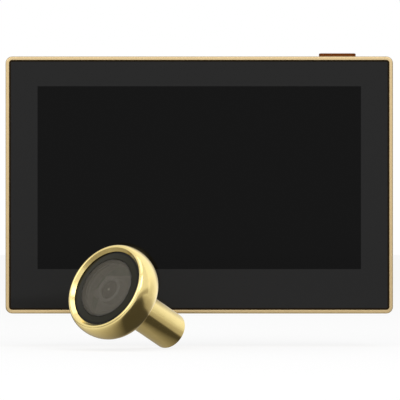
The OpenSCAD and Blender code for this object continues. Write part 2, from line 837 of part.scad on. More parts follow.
module sensor_board() {
  color(board_green) camera_place() difference() {
    translate([0, 0, z_step]) cylinder(r = board_r, h = sensor_board_t);
    for (s = [-1, 1])
      translate([s * ear_x, 0, z_step - eps]) cylinder(r = pilot_r, h = sensor_board_t + 2 * eps);
  }
}

module lock_nut() {
  color(steel) camera_place() difference() {
    translate([0, 0, z_floor]) cylinder(r = nut_r, h = nut_t, $fn = 6);
    translate([0, 0, z_floor - eps]) cylinder(r = spigot_hole_r, h = nut_t + 2 * eps);
  }
}

module barrel_tube() {
  color(gold) camera_place() turned() polygon(concat(
    [[thread_r, z_end]],
    arc([barrel_r - barrel_round, z_end + barrel_round], [barrel_round, barrel_round], -90, 0),
    [[barrel_r, z_neck], [neck_r, z_neck], [neck_r, z_back], [spigot_r, z_back], [spigot_r, z_nut],
     [cable_r, z_nut], [cable_r, z_thread], [thread_r, z_thread]]));
}

module door_gasket() {
  color(black) camera_place() ring(gasket_r, neck_r + fit_clear, z_neck, z_back);
}

module cable_grommet() {
  color(black) camera_place() difference() {
    translate([0, 0, z_thread]) cylinder(r = cable_r, h = grommet_l);
    translate([-ribbon_slot[0] / 2, -ribbon_slot[1] / 2, z_thread - eps])
      cube([ribbon_slot[0], ribbon_slot[1], grommet_l + 2 * eps]);
  }
}

door_bracket();
bracket_hooks();
front_frame();
glass_gasket();
cover_glass();
display_panel();
backlight_tray();
display_flex();
display_socket();
chassis();
main_board();
board_screws();
processor_shield();
board_chips();
ribbon_socket();
usb_socket();
card_socket();
power_switch();
speaker();
microphone();
battery_pack();
rear_cover();
cover_screws();
power_button();
switch_plunger();
head_shell();
window_ring();
lens_window();
window_seal();
spacer_ring();
lens_barrel();
lens_front_element();
lens_rear_element();
filter_glass();
lens_holder();
holder_screws();
image_sensor();
sensor_board();
lock_nut();
barrel_tube();
door_gasket();
cable_grommet();
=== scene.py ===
# %% [markdown]
# # A peephole door camera, dressed for its portrait
#
# The object is a pair: a monitor that hangs on the inside of a door, and a
# gold camera unit whose barrel goes through the door. Its real sizes, places
# and joints come packed as a fixed frame. This lesson builds the surfaces
# around that frame: rounded metal, glass, moulded plastic and their finishes.
# They could be modelled by eye, but sizes measured on the frame always fit.

# %% Load the frame
import json
import math

import bmesh
import bpy
from mathutils import Matrix, Vector


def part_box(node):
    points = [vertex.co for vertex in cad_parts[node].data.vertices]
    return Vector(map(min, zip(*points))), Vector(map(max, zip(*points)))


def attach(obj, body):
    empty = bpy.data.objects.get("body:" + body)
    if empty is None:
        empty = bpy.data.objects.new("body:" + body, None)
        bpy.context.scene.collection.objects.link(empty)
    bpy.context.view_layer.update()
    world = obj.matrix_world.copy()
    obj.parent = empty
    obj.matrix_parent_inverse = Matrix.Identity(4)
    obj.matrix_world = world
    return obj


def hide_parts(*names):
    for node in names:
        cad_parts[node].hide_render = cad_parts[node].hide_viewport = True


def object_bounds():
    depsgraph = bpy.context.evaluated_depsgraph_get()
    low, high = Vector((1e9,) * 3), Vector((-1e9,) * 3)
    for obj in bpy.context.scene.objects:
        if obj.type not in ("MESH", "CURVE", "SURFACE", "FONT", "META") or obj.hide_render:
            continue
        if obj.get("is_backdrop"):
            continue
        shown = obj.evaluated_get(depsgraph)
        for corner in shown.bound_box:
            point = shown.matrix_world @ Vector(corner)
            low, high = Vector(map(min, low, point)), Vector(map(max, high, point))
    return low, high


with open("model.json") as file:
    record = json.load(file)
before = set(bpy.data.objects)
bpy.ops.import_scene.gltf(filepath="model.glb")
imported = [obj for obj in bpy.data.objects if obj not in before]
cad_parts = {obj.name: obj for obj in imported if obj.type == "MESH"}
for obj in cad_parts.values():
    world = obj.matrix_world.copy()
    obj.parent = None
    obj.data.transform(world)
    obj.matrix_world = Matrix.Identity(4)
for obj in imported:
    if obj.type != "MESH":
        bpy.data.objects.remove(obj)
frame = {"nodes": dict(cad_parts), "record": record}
cad_low, cad_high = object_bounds()
NODES = frame["nodes"]
SUBPARTS = frame["record"]["subparts"]
MOUNTS = {mount["name"]: mount for mount in frame["record"]["mounts"]}
MM = 0.001
SCENE = bpy.context.scene

# %% [markdown]
# ## The view
#
# The picture was taken straight from the front with a long lens, so the gold
# band is a clean rectangle. Four measured edges of that rectangle and the
# band's real width give the scale, and the scale gives the lens. A camera
# that is shifted sideways would do too, but moving it keeps other views true.

# %% Camera from the measured edges of the case
PHOTO_PX = 400
CASE_LEFT_PX = 5.5
CASE_RIGHT_PX = 393.0
CASE_TOP_PX = 56.5
CASE_BOTTOM_PX = 313.45
VIEW_DISTANCE = 1.5
SENSOR_MM = 36.0

case_low, case_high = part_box("front_frame")
metres_per_px = (case_high.x - case_low.x) / (CASE_RIGHT_PX - CASE_LEFT_PX)
view_x = (PHOTO_PX - CASE_LEFT_PX - CASE_RIGHT_PX) / 2 * metres_per_px
view_z = (CASE_TOP_PX + CASE_BOTTOM_PX - PHOTO_PX) / 2 * metres_per_px

view_data = bpy.data.cameras.new("view")
view_data.sensor_width = SENSOR_MM
view_data.lens = SENSOR_MM * VIEW_DISTANCE / (PHOTO_PX * metres_per_px)
view = bpy.data.objects.new("view", view_data)
view.location = (view_x, case_low.y - VIEW_DISTANCE, view_z)
view.rotation_euler = (math.pi / 2, 0, 0)
SCENE.collection.objects.link(view)
SCENE.camera = view
SCENE.view_settings.view_transform = "Standard"
print("lens:", round(view_data.lens, 1), "mm,", round(metres_per_px / MM, 4), "mm a pixel")

# %% [markdown]
# ## Node helpers
#
# Shaders and Geometry Nodes are both trees of nodes. They could be wired node
# by node, but one helper that places a node, sets its options and fills its
# inputs keeps each finish below to the few lines that say what it looks like.

# %% Placing nodes
def place(tree, kind, inputs=None, **settings):
    """Adds a node, sets its options, and fills its inputs by name or number."""
    node = tree.nodes.new(kind)
    for key, value in settings.items():
        setattr(node, key, value)
    for key, value in (inputs or {}).items():
        if isinstance(value, bpy.types.NodeSocket):
            tree.links.new(value, node.inputs[key])
        else:
            node.inputs[key].default_value = value
    return node


def sums(tree, operation, *values):
    """A Math node's result."""
    return place(tree, "ShaderNodeMath", dict(enumerate(values)), operation=operation).outputs[0]


def vectors(tree, operation, *values):
    """A Vector Math node's outputs."""
    return place(tree, "ShaderNodeVectorMath", dict(enumerate(values)), operation=operation).outputs


def span(tree, value, low, high, out_low, out_high):
    """Carries a value from one range to another, clamped."""
    node = place(tree, "ShaderNodeMapRange", {
        "Value": value, "From Min": low, "From Max": high, "To Min": out_low, "To Max": out_high})
    return node.outputs["Result"]


def mixed(tree, share, first, second):
    """Mixes two colours."""
    node = place(tree, "ShaderNodeMix", {0: share, 6: first, 7: second}, data_type="RGBA")
    return node.outputs[2]


def surface(tree):
    """The piece's own coordinates, in millimetres."""
    own = place(tree, "ShaderNodeTexCoord").outputs["Object"]
    return place(tree, "ShaderNodeVectorMath", {0: own, "Scale": 1 / MM}, operation="SCALE").outputs[0]


def axes(tree, vector):
    """The X, Y and Z of a vector."""
    return place(tree, "ShaderNodeSeparateXYZ", {0: vector}).outputs


print("patterns are drawn in units of", MM, "metres")

# %% [markdown]
# ## Stage and light
#
# The picture has a plain white ground. The world shows white to camera rays and
# to reflections, while a softer world lights the object. More light would
# whiten the ground too, but it would bleach the object with it.

# %% World
WHITE = (1, 1, 1, 1)
WORLD_LIGHT = 0.5

world = bpy.data.worlds.new("studio")
SCENE.world = world
world.use_nodes = True


def seen_directly(tree):
    """1 for rays that show a picture of the surroundings, 0 for rays that only light."""
    rays = place(tree, "ShaderNodeLightPath").outputs
    seen = sums(tree, "MAXIMUM", rays["Is Camera Ray"], rays["Is Glossy Ray"])
    return sums(tree, "MAXIMUM", seen, rays["Is Transmission Ray"])


def build_world(tree):
    tree.nodes.clear()
    lighting = place(tree, "ShaderNodeBackground", {"Color": WHITE, "Strength": WORLD_LIGHT})
    ground = place(tree, "ShaderNodeBackground", {"Color": WHITE, "Strength": 1.0})
    mix = place(tree, "ShaderNodeMixShader", {
        0: seen_directly(tree), 1: lighting.outputs[0], 2: ground.outputs[0]})
    place(tree, "ShaderNodeOutputWorld", {"Surface": mix.outputs[0]})


build_world(world.node_tree)
print("world:", world.name, "lights at", WORLD_LIGHT)

# %% [markdown]
# The floor is a wide pale sheet just under the object. As plain paper it would
# turn grey away from the lamps, so it shows a white glow to the camera and to
# reflections. A little of it stays a lit surface, which keeps the shadow.

# %% Floor
FLOOR_HALF = 2.5
FLOOR_GLOW = 0.83
FLOOR_PALE = (0.8, 0.8, 0.8, 1)
FLOOR_SHADE = (0.2, 0.2, 0.2, 1)
FLOOR_GAP = 0.2 * MM


def empty_material(name):
    """A material without nodes, and its tree."""
    material = bpy.data.materials.new(name)
    material.use_nodes = True
    material.node_tree.nodes.clear()
    return material, material.node_tree


def build_floor_material():
    material, tree = empty_material("pale_floor")
    pale = place(tree, "ShaderNodeBsdfDiffuse", {"Color": FLOOR_PALE})
    glow = place(tree, "ShaderNodeEmission", {"Color": WHITE, "Strength": FLOOR_GLOW})
    shade = place(tree, "ShaderNodeBsdfDiffuse", {"Color": FLOOR_SHADE})
    shown = place(tree, "ShaderNodeAddShader", {0: glow.outputs[0], 1: shade.outputs[0]})
    mix = place(tree, "ShaderNodeMixShader", {
        0: seen_directly(tree), 1: pale.outputs[0], 2: shown.outputs[0]})
    place(tree, "ShaderNodeOutputMaterial", {"Surface": mix.outputs[0]})
    return material


def flat_card(name, corners, material):
    """A flat stage piece from its corners."""
    mesh = bpy.data.meshes.new(name)
    mesh.from_pydata([Vector(corner) for corner in corners], [], [list(range(len(corners)))])
    sheet = bpy.data.objects.new(name, mesh)
    sheet.data.materials.append(material)
    SCENE.collection.objects.link(sheet)
    sheet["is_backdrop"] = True
    return sheet


floor_z = cad_low.z - FLOOR_GAP
flat_card("floor", [
    (-FLOOR_HALF, -FLOOR_HALF, floor_z), (FLOOR_HALF, -FLOOR_HALF, floor_z),
    (FLOOR_HALF, FLOOR_HALF, floor_z), (-FLOOR_HALF, FLOOR_HALF, floor_z)], build_floor_material())
print("floor at", round(floor_z / MM, 2), "mm")

# %% [markdown]
# Softboxes shape the object with soft light from above, left and right. One
# sun lamp would light it too, but its small disc would leave hard shadows and
# give satin gold nothing broad to gleam with. Each lamp is set by the
# brightness that its face shows, so its size can change without its glare.

# %% Softboxes
SOFTBOXES = {
    "top_softbox": {"at": (0.05, -0.20, 0.75), "size": (0.60, 0.45), "radiance": 1.1},
    "left_softbox": {"at": (-0.50, -0.70, 0.45), "size": (0.60, 0.60), "radiance": 1.4},
    "right_softbox": {"at": (0.40, -0.75, 0.60), "size": (0.50, 0.50), "radiance": 2.2},
}


def softbox(name, at, size, radiance):
    """A rectangular lamp that faces the object, with the brightness that its face shows."""
    lamp_data = bpy.data.lights.new(name, "AREA")
    lamp_data.shape = "RECTANGLE"
    lamp_data.size, lamp_data.size_y = size
    lamp_data.energy = radiance * math.pi * size[0] * size[1]
    lamp = bpy.data.objects.new(name, lamp_data)
    lamp.location = at
    lamp.rotation_euler = (-Vector(at)).to_track_quat("-Z", "Y").to_euler()
    lamp.visible_camera = False
    SCENE.collection.objects.link(lamp)


for name, settings in SOFTBOXES.items():
    softbox(name, **settings)
print("lamps:", ", ".join(SOFTBOXES))

# %% [markdown]
# ## Cards
#
# Polished metal shows what stands round it, and in a bare white room it would
# look flat. A photographer sets out bright and dark cards, and so does this
# stage. They show in reflections only. A picture could be wrapped round the
# scene instead, but a card stands at a real place and holds in every view.
# Each takes its corners and a rule for its glow, and what is dark is warm.

# %% A card
CARD_LIFT = 0.05 * MM
DARK, BRIGHT = 0.07, 1.0
WARM = (1, 0.90, 0.72, 1)


def card(name, corners, level, one_sided=False):
    """A stage card that shows in reflections only, with a glow that its function lays over it."""
    material, tree = empty_material(name)
    glow = level(tree)
    shown = place(tree, "ShaderNodeEmission", {
        "Color": mixed(tree, glow, WARM, WHITE), "Strength": glow}).outputs[0]
    if one_sided:
        back = place(tree, "ShaderNodeNewGeometry").outputs["Backfacing"]
        clear = place(tree, "ShaderNodeBsdfTransparent").outputs[0]
        shown = place(tree, "ShaderNodeMixShader", {0: back, 1: shown, 2: clear}).outputs[0]
    place(tree, "ShaderNodeOutputMaterial", {"Surface": shown})
    sheet = flat_card(name, corners, material)
    sheet.visible_camera = False
    sheet.visible_diffuse = False
    sheet.visible_shadow = False
    print("card:", name, "with", len(corners), "corners")


def on_floor(points, lift):
    """Points of the floor, in millimetres, as corners."""
    return [(x * MM, y * MM, floor_z + lift) for x, y in points]


def slant(tree, lean):
    """A measure across the floor, from shares of X and Y."""
    at = axes(tree, surface(tree))
    return sums(tree, "MULTIPLY_ADD", at["Y"], lean[1], sums(tree, "MULTIPLY", at["X"], lean[0]))


print("cards glow from", DARK, "to", BRIGHT)

# %% [markdown]
# The back card stands between the monitor and the camera unit, so that the
# gold doesn't mirror black glass. Its dark part, at the lower left, bends round
# the head, and the rest is bright. It could be a plain grey sheet, but gold
# needs both ends of that range. It glows on one side only, and so stays out of
# the monitor's glass.

# %% Back card
BACK_CARD_Y = -18.5 * MM
BACK_LEFT, BACK_RIGHT, BACK_TOP = -66 * MM, 700 * MM, 120 * MM
BACK_BEND, BACK_LEAN = -25, 0.9
BACK_SPAN, BACK_GLOW = (-12, 26), (0.12, 1.25)
BACK_RISE, RISE_GLOW = (-14, 10), (0.12, 1.1)
BACK_FOOT, BACK_DIM = (-52, -41), (0.85, 1.0)
BACK_CAP, CAP_RISE = (20, 120, 1.15, 0.8), (-25, 30, 0.0, 0.45)


def back_glow(tree):
    at = axes(tree, surface(tree))
    off = sums(tree, "ABSOLUTE", sums(tree, "SUBTRACT", at["Z"], BACK_BEND))
    along = sums(tree, "MULTIPLY_ADD", off, BACK_LEAN, at["X"])
    glow = sums(tree, "MAXIMUM", span(tree, along, *BACK_SPAN, *BACK_GLOW),
                span(tree, at["Z"], *BACK_RISE, *RISE_GLOW))
    cap = sums(tree, "ADD", span(tree, at["X"], *BACK_CAP), span(tree, at["Z"], *CAP_RISE))
    glow = sums(tree, "MINIMUM", glow, cap)
    return sums(tree, "MULTIPLY", glow, span(tree, at["Z"], *BACK_FOOT, *BACK_DIM))


card("back_card", [
    (BACK_LEFT, BACK_CARD_Y, floor_z), (BACK_RIGHT, BACK_CARD_Y, floor_z),
    (BACK_RIGHT, BACK_CARD_Y, BACK_TOP), (BACK_LEFT, BACK_CARD_Y, BACK_TOP)], back_glow, one_sided=True)

# %% [markdown]
# The floor card lies under the camera unit and gives the head and the barrel
# their crisp dark edge. It is bright left of a slanting line and dark past it,
# and it lightens again under the barrel, beyond it and far away. Four simple
# fades, of which the brightest counts, are easier to tune than one drawing.

# %% Floor card
FLOOR_CARD = [(-80, -20), (-55, -50), (-42, -66), (-28, -82), (350, -700), (700, -30), (700, -20)]
EDGE_LEAN, EDGE_AT = (1, 0.38), -57.5
EDGE_FROM, EDGE_LEAST, EDGE_WIDENS = -82, 6, 0.9
SHADE_FROM, SHADE_DIM = (-55, -35), (1.0, 0.75)
UNDER_LEAN, UNDER_FADE, UNDER_FROM = (-1, 0.7), (-21.2, -13, 0.07, 0.36), (-54, -42)
SIDE_LEAN, SIDE_NEAR, SIDE_FAR = (0.55, 1), (-59.5, -50, 0.07, 0.4), (-50, 30, 0.0, 0.42)
TUBE_LEAN, TUBE_EDGE = (1, 0.38), (-14.5, -4)
FAR_FROM, FAR_FADE = (-20, -66), (40, 420, 0.06, 0.40)


def edge_glow(tree):
    """Bright before a slanting edge, which softens towards the door."""
    y = axes(tree, surface(tree))["Y"]
    width = sums(tree, "MULTIPLY_ADD", sums(tree, "SUBTRACT", y, EDGE_FROM), EDGE_WIDENS, EDGE_LEAST)
    past = sums(tree, "SUBTRACT", slant(tree, EDGE_LEAN), EDGE_AT)
    share = sums(tree, "DIVIDE", past, sums(tree, "MAXIMUM", width, EDGE_LEAST))
    glow = span(tree, share, 0.5, -0.5, DARK, BRIGHT)
    return sums(tree, "MULTIPLY", glow, span(tree, y, *SHADE_FROM, *SHADE_DIM))


def under_glow(tree):
    """Lighter under the barrel."""
    y = axes(tree, surface(tree))["Y"]
    near = span(tree, slant(tree, UNDER_LEAN), *UNDER_FADE)
    return sums(tree, "MINIMUM", near, span(tree, y, *UNDER_FROM, DARK, BRIGHT))


def side_glow(tree):
    """Lighter beyond the barrel, from its edge on."""
    across = slant(tree, SIDE_LEAN)
    side = sums(tree, "ADD", span(tree, across, *SIDE_NEAR), span(tree, across, *SIDE_FAR))
    return sums(tree, "MINIMUM", side, span(tree, slant(tree, TUBE_LEAN), *TUBE_EDGE, DARK, BRIGHT))


def far_glow(tree):
    """Lighter far from the camera unit."""
    away = vectors(tree, "DISTANCE", surface(tree), (*FAR_FROM, floor_z / MM))["Value"]
    return span(tree, away, *FAR_FADE)


def floor_glow(tree):
    glow = edge_glow(tree)
    for more_glow in (under_glow, side_glow, far_glow):
        glow = sums(tree, "MAXIMUM", glow, more_glow(tree))
    return glow


card("floor_card", on_floor(FLOOR_CARD, 2 * CARD_LIFT), floor_glow)

# %% [markdown]
# A second card on the floor, to the left, grows dimmer away from the head and
# shades the rim's outer edge. A low upright one on the right rises from grey to
# white, so that the barrel's far side rolls off softly. Both could be lamps,
# but a lamp would also light the floor.

# %% Left and right cards
LEFT_CARD = [(-30, -83), (-40, -68), (-72, -70), (-72, -36), (-90, 5),
             (-130, 70), (-300, 150), (-300, -200), (-30, -900), (-60, -140)]
LEFT_LEAN, LEFT_FADE = (1, 0.38), (-63, -88, 1.0, 0.38)
RIGHT_CARD, RIGHT_TOP, RIGHT_FADE = [(700, -30), (350, -700)], 80, (25, 80, 0.40, 1.0)


def left_glow(tree):
    return span(tree, slant(tree, LEFT_LEAN), *LEFT_FADE)


def right_glow(tree):
    return span(tree, axes(tree, surface(tree))["Z"], *RIGHT_FADE)


card("left_card", on_floor(LEFT_CARD, CARD_LIFT), left_glow)
card("right_card", on_floor(RIGHT_CARD, 0) + [
    (x * MM, y * MM, RIGHT_TOP * MM) for x, y in reversed(RIGHT_CARD)], right_glow)

# %% [markdown]
# ## Shared surface effects
#
# Brushed lines, moulded grain, finger smudges and bright worn edges return on
# several finishes. Each finish could hold its own copy, but a node group with
# named inputs is built once, and every finish places it with its own values.

# %% Starting a group
VECTOR, FLOAT, COLOR = "NodeSocketVector", "NodeSocketFloat", "NodeSocketColor"


def new_group(name, takes, gives):
    """An empty shader group with named sockets, and its input and output nodes."""
    group = bpy.data.node_groups.new(name, "ShaderNodeTree")
    for label, kind in takes:
        group.interface.new_socket(label, in_out="INPUT", socket_type=kind)
    for label, kind in gives:
        group.interface.new_socket(label, in_out="OUTPUT", socket_type=kind)
    print("effect:", name, "gives", ", ".join(label for label, kind in gives))
    return group, group.nodes.new("NodeGroupInput").outputs, group.nodes.new("NodeGroupOutput").inputs


def in_words(inputs):
    """Keyword names as the words that sockets carry."""
    return {key.replace("_", " "): value for key, value in inputs.items()}


def effect(tree, group, **inputs):
    """Places a shared effect in a material, with its inputs named in words."""
    return place(tree, "ShaderNodeGroup", in_words(inputs), node_tree=group).outputs


print("words of Worn_Color:", *in_words({"Worn_Color": None}))

# %% [markdown]
# Moulded plastic has a skin of tiny bumps, and rolled or brushed metal has long
# fine lines. Both could be modelled, but at this size a height that only tilts
# the light is enough. The lines are a noise, stretched along the metal.

# %% Grain and lines
GRAIN_SPAN = (-0.4, 0.6)
LINES_SPAN = (0.3, 0.7)


def build_grain():
    """Small round bumps, as a mould leaves on plastic."""
    group, takes, gives = new_group(
        "moulded_grain", [("Vector", VECTOR), ("Scale", FLOAT)], [("Height", FLOAT), ("Mask", FLOAT)])
    fine = place(group, "ShaderNodeTexNoise", {
        "Vector": takes["Vector"], "Scale": takes["Scale"], "Detail": 2.0})
    cells = place(group, "ShaderNodeTexVoronoi", {"Vector": takes["Vector"], "Scale": takes["Scale"]})
    height = sums(group, "SUBTRACT", fine.outputs[0], cells.outputs["Distance"])
    group.links.new(height, gives["Height"])
    group.links.new(span(group, height, *GRAIN_SPAN, 0.0, 1.0), gives["Mask"])
    return group


def build_lines():
    """Long fine lines, as brushing leaves on metal."""
    group, takes, gives = new_group(
        "brushed_lines", [("Vector", VECTOR), ("Stretch", VECTOR)], [("Height", FLOAT), ("Mask", FLOAT)])
    stretched = vectors(group, "MULTIPLY", takes["Vector"], takes["Stretch"])[0]
    noise = place(group, "ShaderNodeTexNoise", {"Vector": stretched, "Scale": 1.0, "Detail": 3.0})
    group.links.new(noise.outputs[0], gives["Height"])
    group.links.new(span(group, noise.outputs[0], *LINES_SPAN, 0.0, 1.0), gives["Mask"])
    return group


GRAIN = build_grain()
LINES = build_lines()

# %% [markdown]
# Hands leave gloss a little uneven, and rubbed corners show a brighter tone.
# Both could be painted by hand, but a soft noise that shifts the roughness gives
# smudges everywhere. The wear follows how pointed an edge is, broken by noise.

# %% Smudges and worn edges
SMUDGE_SPAN, SMUDGE_SWIRL = (0.35, 0.7), 0.6
POINTED_SPAN = (0.51, 0.6)
BROKEN_SPAN, BROKEN_SCALE = (0.4, 0.65), 1.5


def build_smudges():
    """Soft uneven roughness, as handling leaves on gloss."""
    group, takes, gives = new_group(
        "smudges", [("Vector", VECTOR), ("Scale", FLOAT), ("Least", FLOAT), ("Most", FLOAT)],
        [("Roughness", FLOAT), ("Mask", FLOAT)])
    noise = place(group, "ShaderNodeTexNoise", {
        "Vector": takes["Vector"], "Scale": takes["Scale"], "Detail": 4.0, "Distortion": SMUDGE_SWIRL})
    mask = span(group, noise.outputs[0], *SMUDGE_SPAN, 0.0, 1.0)
    group.links.new(span(group, mask, 0.0, 1.0, takes["Least"], takes["Most"]), gives["Roughness"])
    group.links.new(mask, gives["Mask"])
    return group


def build_edge_wear():
    """A second colour along the outer edges, broken up by noise."""
    group, takes, gives = new_group(
        "edge_wear", [("Vector", VECTOR), ("Color", COLOR), ("Worn Color", COLOR), ("Amount", FLOAT)],
        [("Color", COLOR), ("Mask", FLOAT)])
    pointed = place(group, "ShaderNodeNewGeometry").outputs["Pointiness"]
    noise = place(group, "ShaderNodeTexNoise", {
        "Vector": takes["Vector"], "Scale": BROKEN_SCALE, "Detail": 4.0})
    broken = sums(group, "MULTIPLY", span(group, pointed, *POINTED_SPAN, 0.0, 1.0),
                  span(group, noise.outputs[0], *BROKEN_SPAN, 0.0, 1.0))
    mask = sums(group, "MULTIPLY", broken, takes["Amount"])
    group.links.new(mixed(group, mask, takes["Color"], takes["Worn Color"]), gives["Color"])
    group.links.new(mask, gives["Mask"])
    return group


SMUDGES = build_smudges()
EDGE_WEAR = build_edge_wear()

# %% [markdown]
# ## Finishes
#
# Every finish is one Principled shader fed by procedural patterns on the
# piece's own coordinates, so nothing needs an image or an unwrapping. All
# lengths in the patterns are millimetres. A finish is kept under the name of
# its slot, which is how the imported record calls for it.

# %% Starting a finish
FINISH = {}


def new_finish(name, **inputs):
    """A material with one Principled shader, its node tree and that shader."""
    material, tree = empty_material(name)
    shader = place(tree, "ShaderNodeBsdfPrincipled", in_words(inputs))
    place(tree, "ShaderNodeOutputMaterial", {"Surface": shader.outputs[0]})
    return material, tree, shader


def feed(tree, shader, **sockets):
    """Links patterns to the shader's inputs, named in words."""
    for label, socket in in_words(sockets).items():
        tree.links.new(socket, shader.inputs[label])


def relief(tree, shader, height, depth):
    """Lets a pattern stand out of the surface by a depth in millimetres."""
    bump = place(tree, "ShaderNodeBump", {"Height": height, "Distance": depth * MM, "Strength": 1.0})
    feed(tree, shader, Normal=bump.outputs["Normal"])


def add_finish(slot, material):
    """Keeps a finish under the name of its slot."""
    FINISH[slot] = material
    print("finish:", material.name, "-", len(material.node_tree.nodes), "nodes")


print("slots to finish:", len({part["material_slot"] for part in SUBPARTS}))

# %% [markdown]
# Three starts return: grained, for what comes out of a mould, smudged, for gloss
# that hands have touched, and worn, which bares the outer edges of either. Each
# finish could start anew, but a start that hands its nodes on is easy to extend.

# %% Grained, smudged and worn
def grained(name, low, high, scale, rough, depth, **inputs):
    """A finish of two close tones with a moulded grain. Gives its parts for more."""
    material, tree, shader = new_finish(name, **inputs)
    at = surface(tree)
    grain = effect(tree, GRAIN, Vector=at, Scale=scale)
    tone = mixed(tree, grain["Mask"], low, high)
    feed(tree, shader, Base_Color=tone, Roughness=span(tree, grain["Mask"], 0.0, 1.0, *rough))
    relief(tree, shader, grain["Height"], depth)
    return material, tree, shader, at, tone


def smudged(name, low, high, scale, rough, **inputs):
    """A finish of two close tones with an uneven gloss. Gives its parts for more."""
    material, tree, shader = new_finish(name, **inputs)
    at = surface(tree)
    smudge = effect(tree, SMUDGES, Vector=at, Scale=scale, Least=rough[0], Most=rough[1])
    tone = mixed(tree, smudge["Mask"], low, high)
    feed(tree, shader, Base_Color=tone, Roughness=smudge["Roughness"])
    return material, tree, shader, at, tone, smudge["Mask"]


def wear(tree, shader, at, tone, bare, amount):
    """Lets a barer tone show along the outer edges."""
    worn = effect(tree, EDGE_WEAR, Vector=at, Color=tone, Worn_Color=bare, Amount=amount)
    feed(tree, shader, Base_Color=worn["Color"])


print("starts:", grained.__name__, smudged.__name__, wear.__name__)

# %% [markdown]
# The band is champagne gold with a satin face. Behind the front face, on its
# rounded edge and the wall that runs back, it is painted a deeper tone as
# painted shade. Yellow paint would pass in one light only, so it is a true
# metal: its colour is the colour of its reflections. A fine grain spreads
# them, as on a blasted face.

# %% Satin gold of the band
BAND_FACE = (0.715, 0.545, 0.298, 1)
# Painted shade: the deeper tone behind the band's front face
BAND_SIDE_SHADE = (0.36, 0.277, 0.158, 1)
BAND_BARE, BAND_WEAR = (0.75, 0.60, 0.36, 1), 0.25
LIP_SHADE_DEPTH = 0.12
BAND_GRAIN, BAND_ROUGH, BAND_RELIEF = 9.0, (0.36, 0.46), 0.0005


def satin_band():
    material, tree, shader = new_finish("satin_gold_band", Metallic=1.0)
    at = surface(tree)
    front = case_low.y / MM
    # Painted shade: darker from the front face back over the rounding and the wall
    depth = span(tree, axes(tree, at)["Y"], front, front + LIP_SHADE_DEPTH, 0.0, 1.0)
    wear(tree, shader, at, mixed(tree, depth, BAND_FACE, BAND_SIDE_SHADE), BAND_BARE, BAND_WEAR)
    grain = effect(tree, GRAIN, Vector=at, Scale=BAND_GRAIN)
    feed(tree, shader, Roughness=span(tree, grain["Mask"], 0.0, 1.0, *BAND_ROUGH))
    relief(tree, shader, grain["Height"], BAND_RELIEF)
    return material


add_finish("gold_band", satin_band())

# %% [markdown]
# The camera unit is yellower and polished, so its roughness is low and only
# faint smudges break it up. The button is copper, painted darker towards its
# top as painted shade. One gold for all would be simpler, but three metals
# stand side by side here.

# %% Polished gold and copper
CAMERA_GOLD = (0.86, 0.70, 0.305, 1)
CAMERA_DEEP = (0.83, 0.665, 0.28, 1)
CAMERA_SMUDGE, CAMERA_ROUGH = 0.22, (0.15, 0.21)
COPPER_LOW = (0.24, 0.095, 0.032, 1)
# Painted shade: the copper's darker tone at the button's top
COPPER_TOP_SHADE = (0.10, 0.022, 0.003, 1)
COPPER_BARE, COPPER_WEAR = (0.45, 0.22, 0.09, 1), 0.3
COPPER_RISE, COPPER_LINES, COPPER_ROUGH = 1.0, (0.4, 9.0, 9.0), (0.3, 0.42)


def copper_anodised():
    material, tree, shader = new_finish("copper_anodised", Metallic=1.0)
    at = surface(tree)
    lines = effect(tree, LINES, Vector=at, Stretch=COPPER_LINES)
    top = case_high.z / MM
    # Painted shade: darker from the band's top edge up to the button's top
    height = span(tree, axes(tree, at)["Z"], top, top + COPPER_RISE, 0.0, 1.0)
    wear(tree, shader, at, mixed(tree, height, COPPER_LOW, COPPER_TOP_SHADE), COPPER_BARE, COPPER_WEAR)
    feed(tree, shader, Roughness=span(tree, lines["Mask"], 0.0, 1.0, *COPPER_ROUGH))
    return material


add_finish("gold_camera", smudged(
    "polished_gold", CAMERA_GOLD, CAMERA_DEEP, CAMERA_SMUDGE, CAMERA_ROUGH, Metallic=1.0)[0])
add_finish("copper_button", copper_anodised())

# %% [markdown]
# The cover glass is printed black behind its border, and the display shows as
# a still darker window inside it. The window's edges are the picture's own, so
# they are worked out from the display panel. A print this sharp could be a
# separate sheet, but a mask in the finish gives the same crisp line.

# %% Printed cover glass
PICTURE_BORDER = 2.2 * MM
GLASS_BORDER = (0.0195, 0.0195, 0.0195, 1)
GLASS_PICTURE = (0.0010, 0.0010, 0.0010, 1)
GLASS_SMUDGE, GLASS_LEAST, GLASS_MOST = 0.06, 0.03, 0.05
PRINT_EDGE = 0.06

panel_low, panel_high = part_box("display_panel")
picture_mid = (panel_low + panel_high) / 2
picture_half = (panel_high - panel_low) / 2 - Vector((PICTURE_BORDER, 0, PICTURE_BORDER))


def inside_span(tree, value, middle, half):
    """1 where a coordinate lies within half of a middle, 0 outside, with a fine soft edge."""
    off = sums(tree, "ABSOLUTE", sums(tree, "SUBTRACT", value, middle / MM))
    return span(tree, off, half / MM - PRINT_EDGE, half / MM + PRINT_EDGE, 1.0, 0.0)


def printed_glass():
    material, tree, shader = new_finish("printed_cover_glass", IOR=1.5, Specular_IOR_Level=0.1)
    at = surface(tree)
    across = inside_span(tree, axes(tree, at)["X"], picture_mid.x, picture_half.x)
    up = inside_span(tree, axes(tree, at)["Z"], picture_mid.z, picture_half.z)
    picture = sums(tree, "MULTIPLY", across, up)
    smudge = effect(tree, SMUDGES, Vector=at, Scale=GLASS_SMUDGE, Least=GLASS_LEAST, Most=GLASS_MOST)
    feed(tree, shader, Base_Color=mixed(tree, picture, GLASS_BORDER, GLASS_PICTURE))
    feed(tree, shader, Roughness=smudge["Roughness"])
    return material


add_finish("black_glass", printed_glass())
print("picture:", [round(2 * half / MM, 1) for half in (picture_half.x, picture_half.z)], "mm")

# %% [markdown]
# Window, ring and lens are round, and their tones change towards an edge. That
# could be drawn on a map for each, but the distance from the camera's axis
# gives true rings on all three, and the axis comes with the frame.

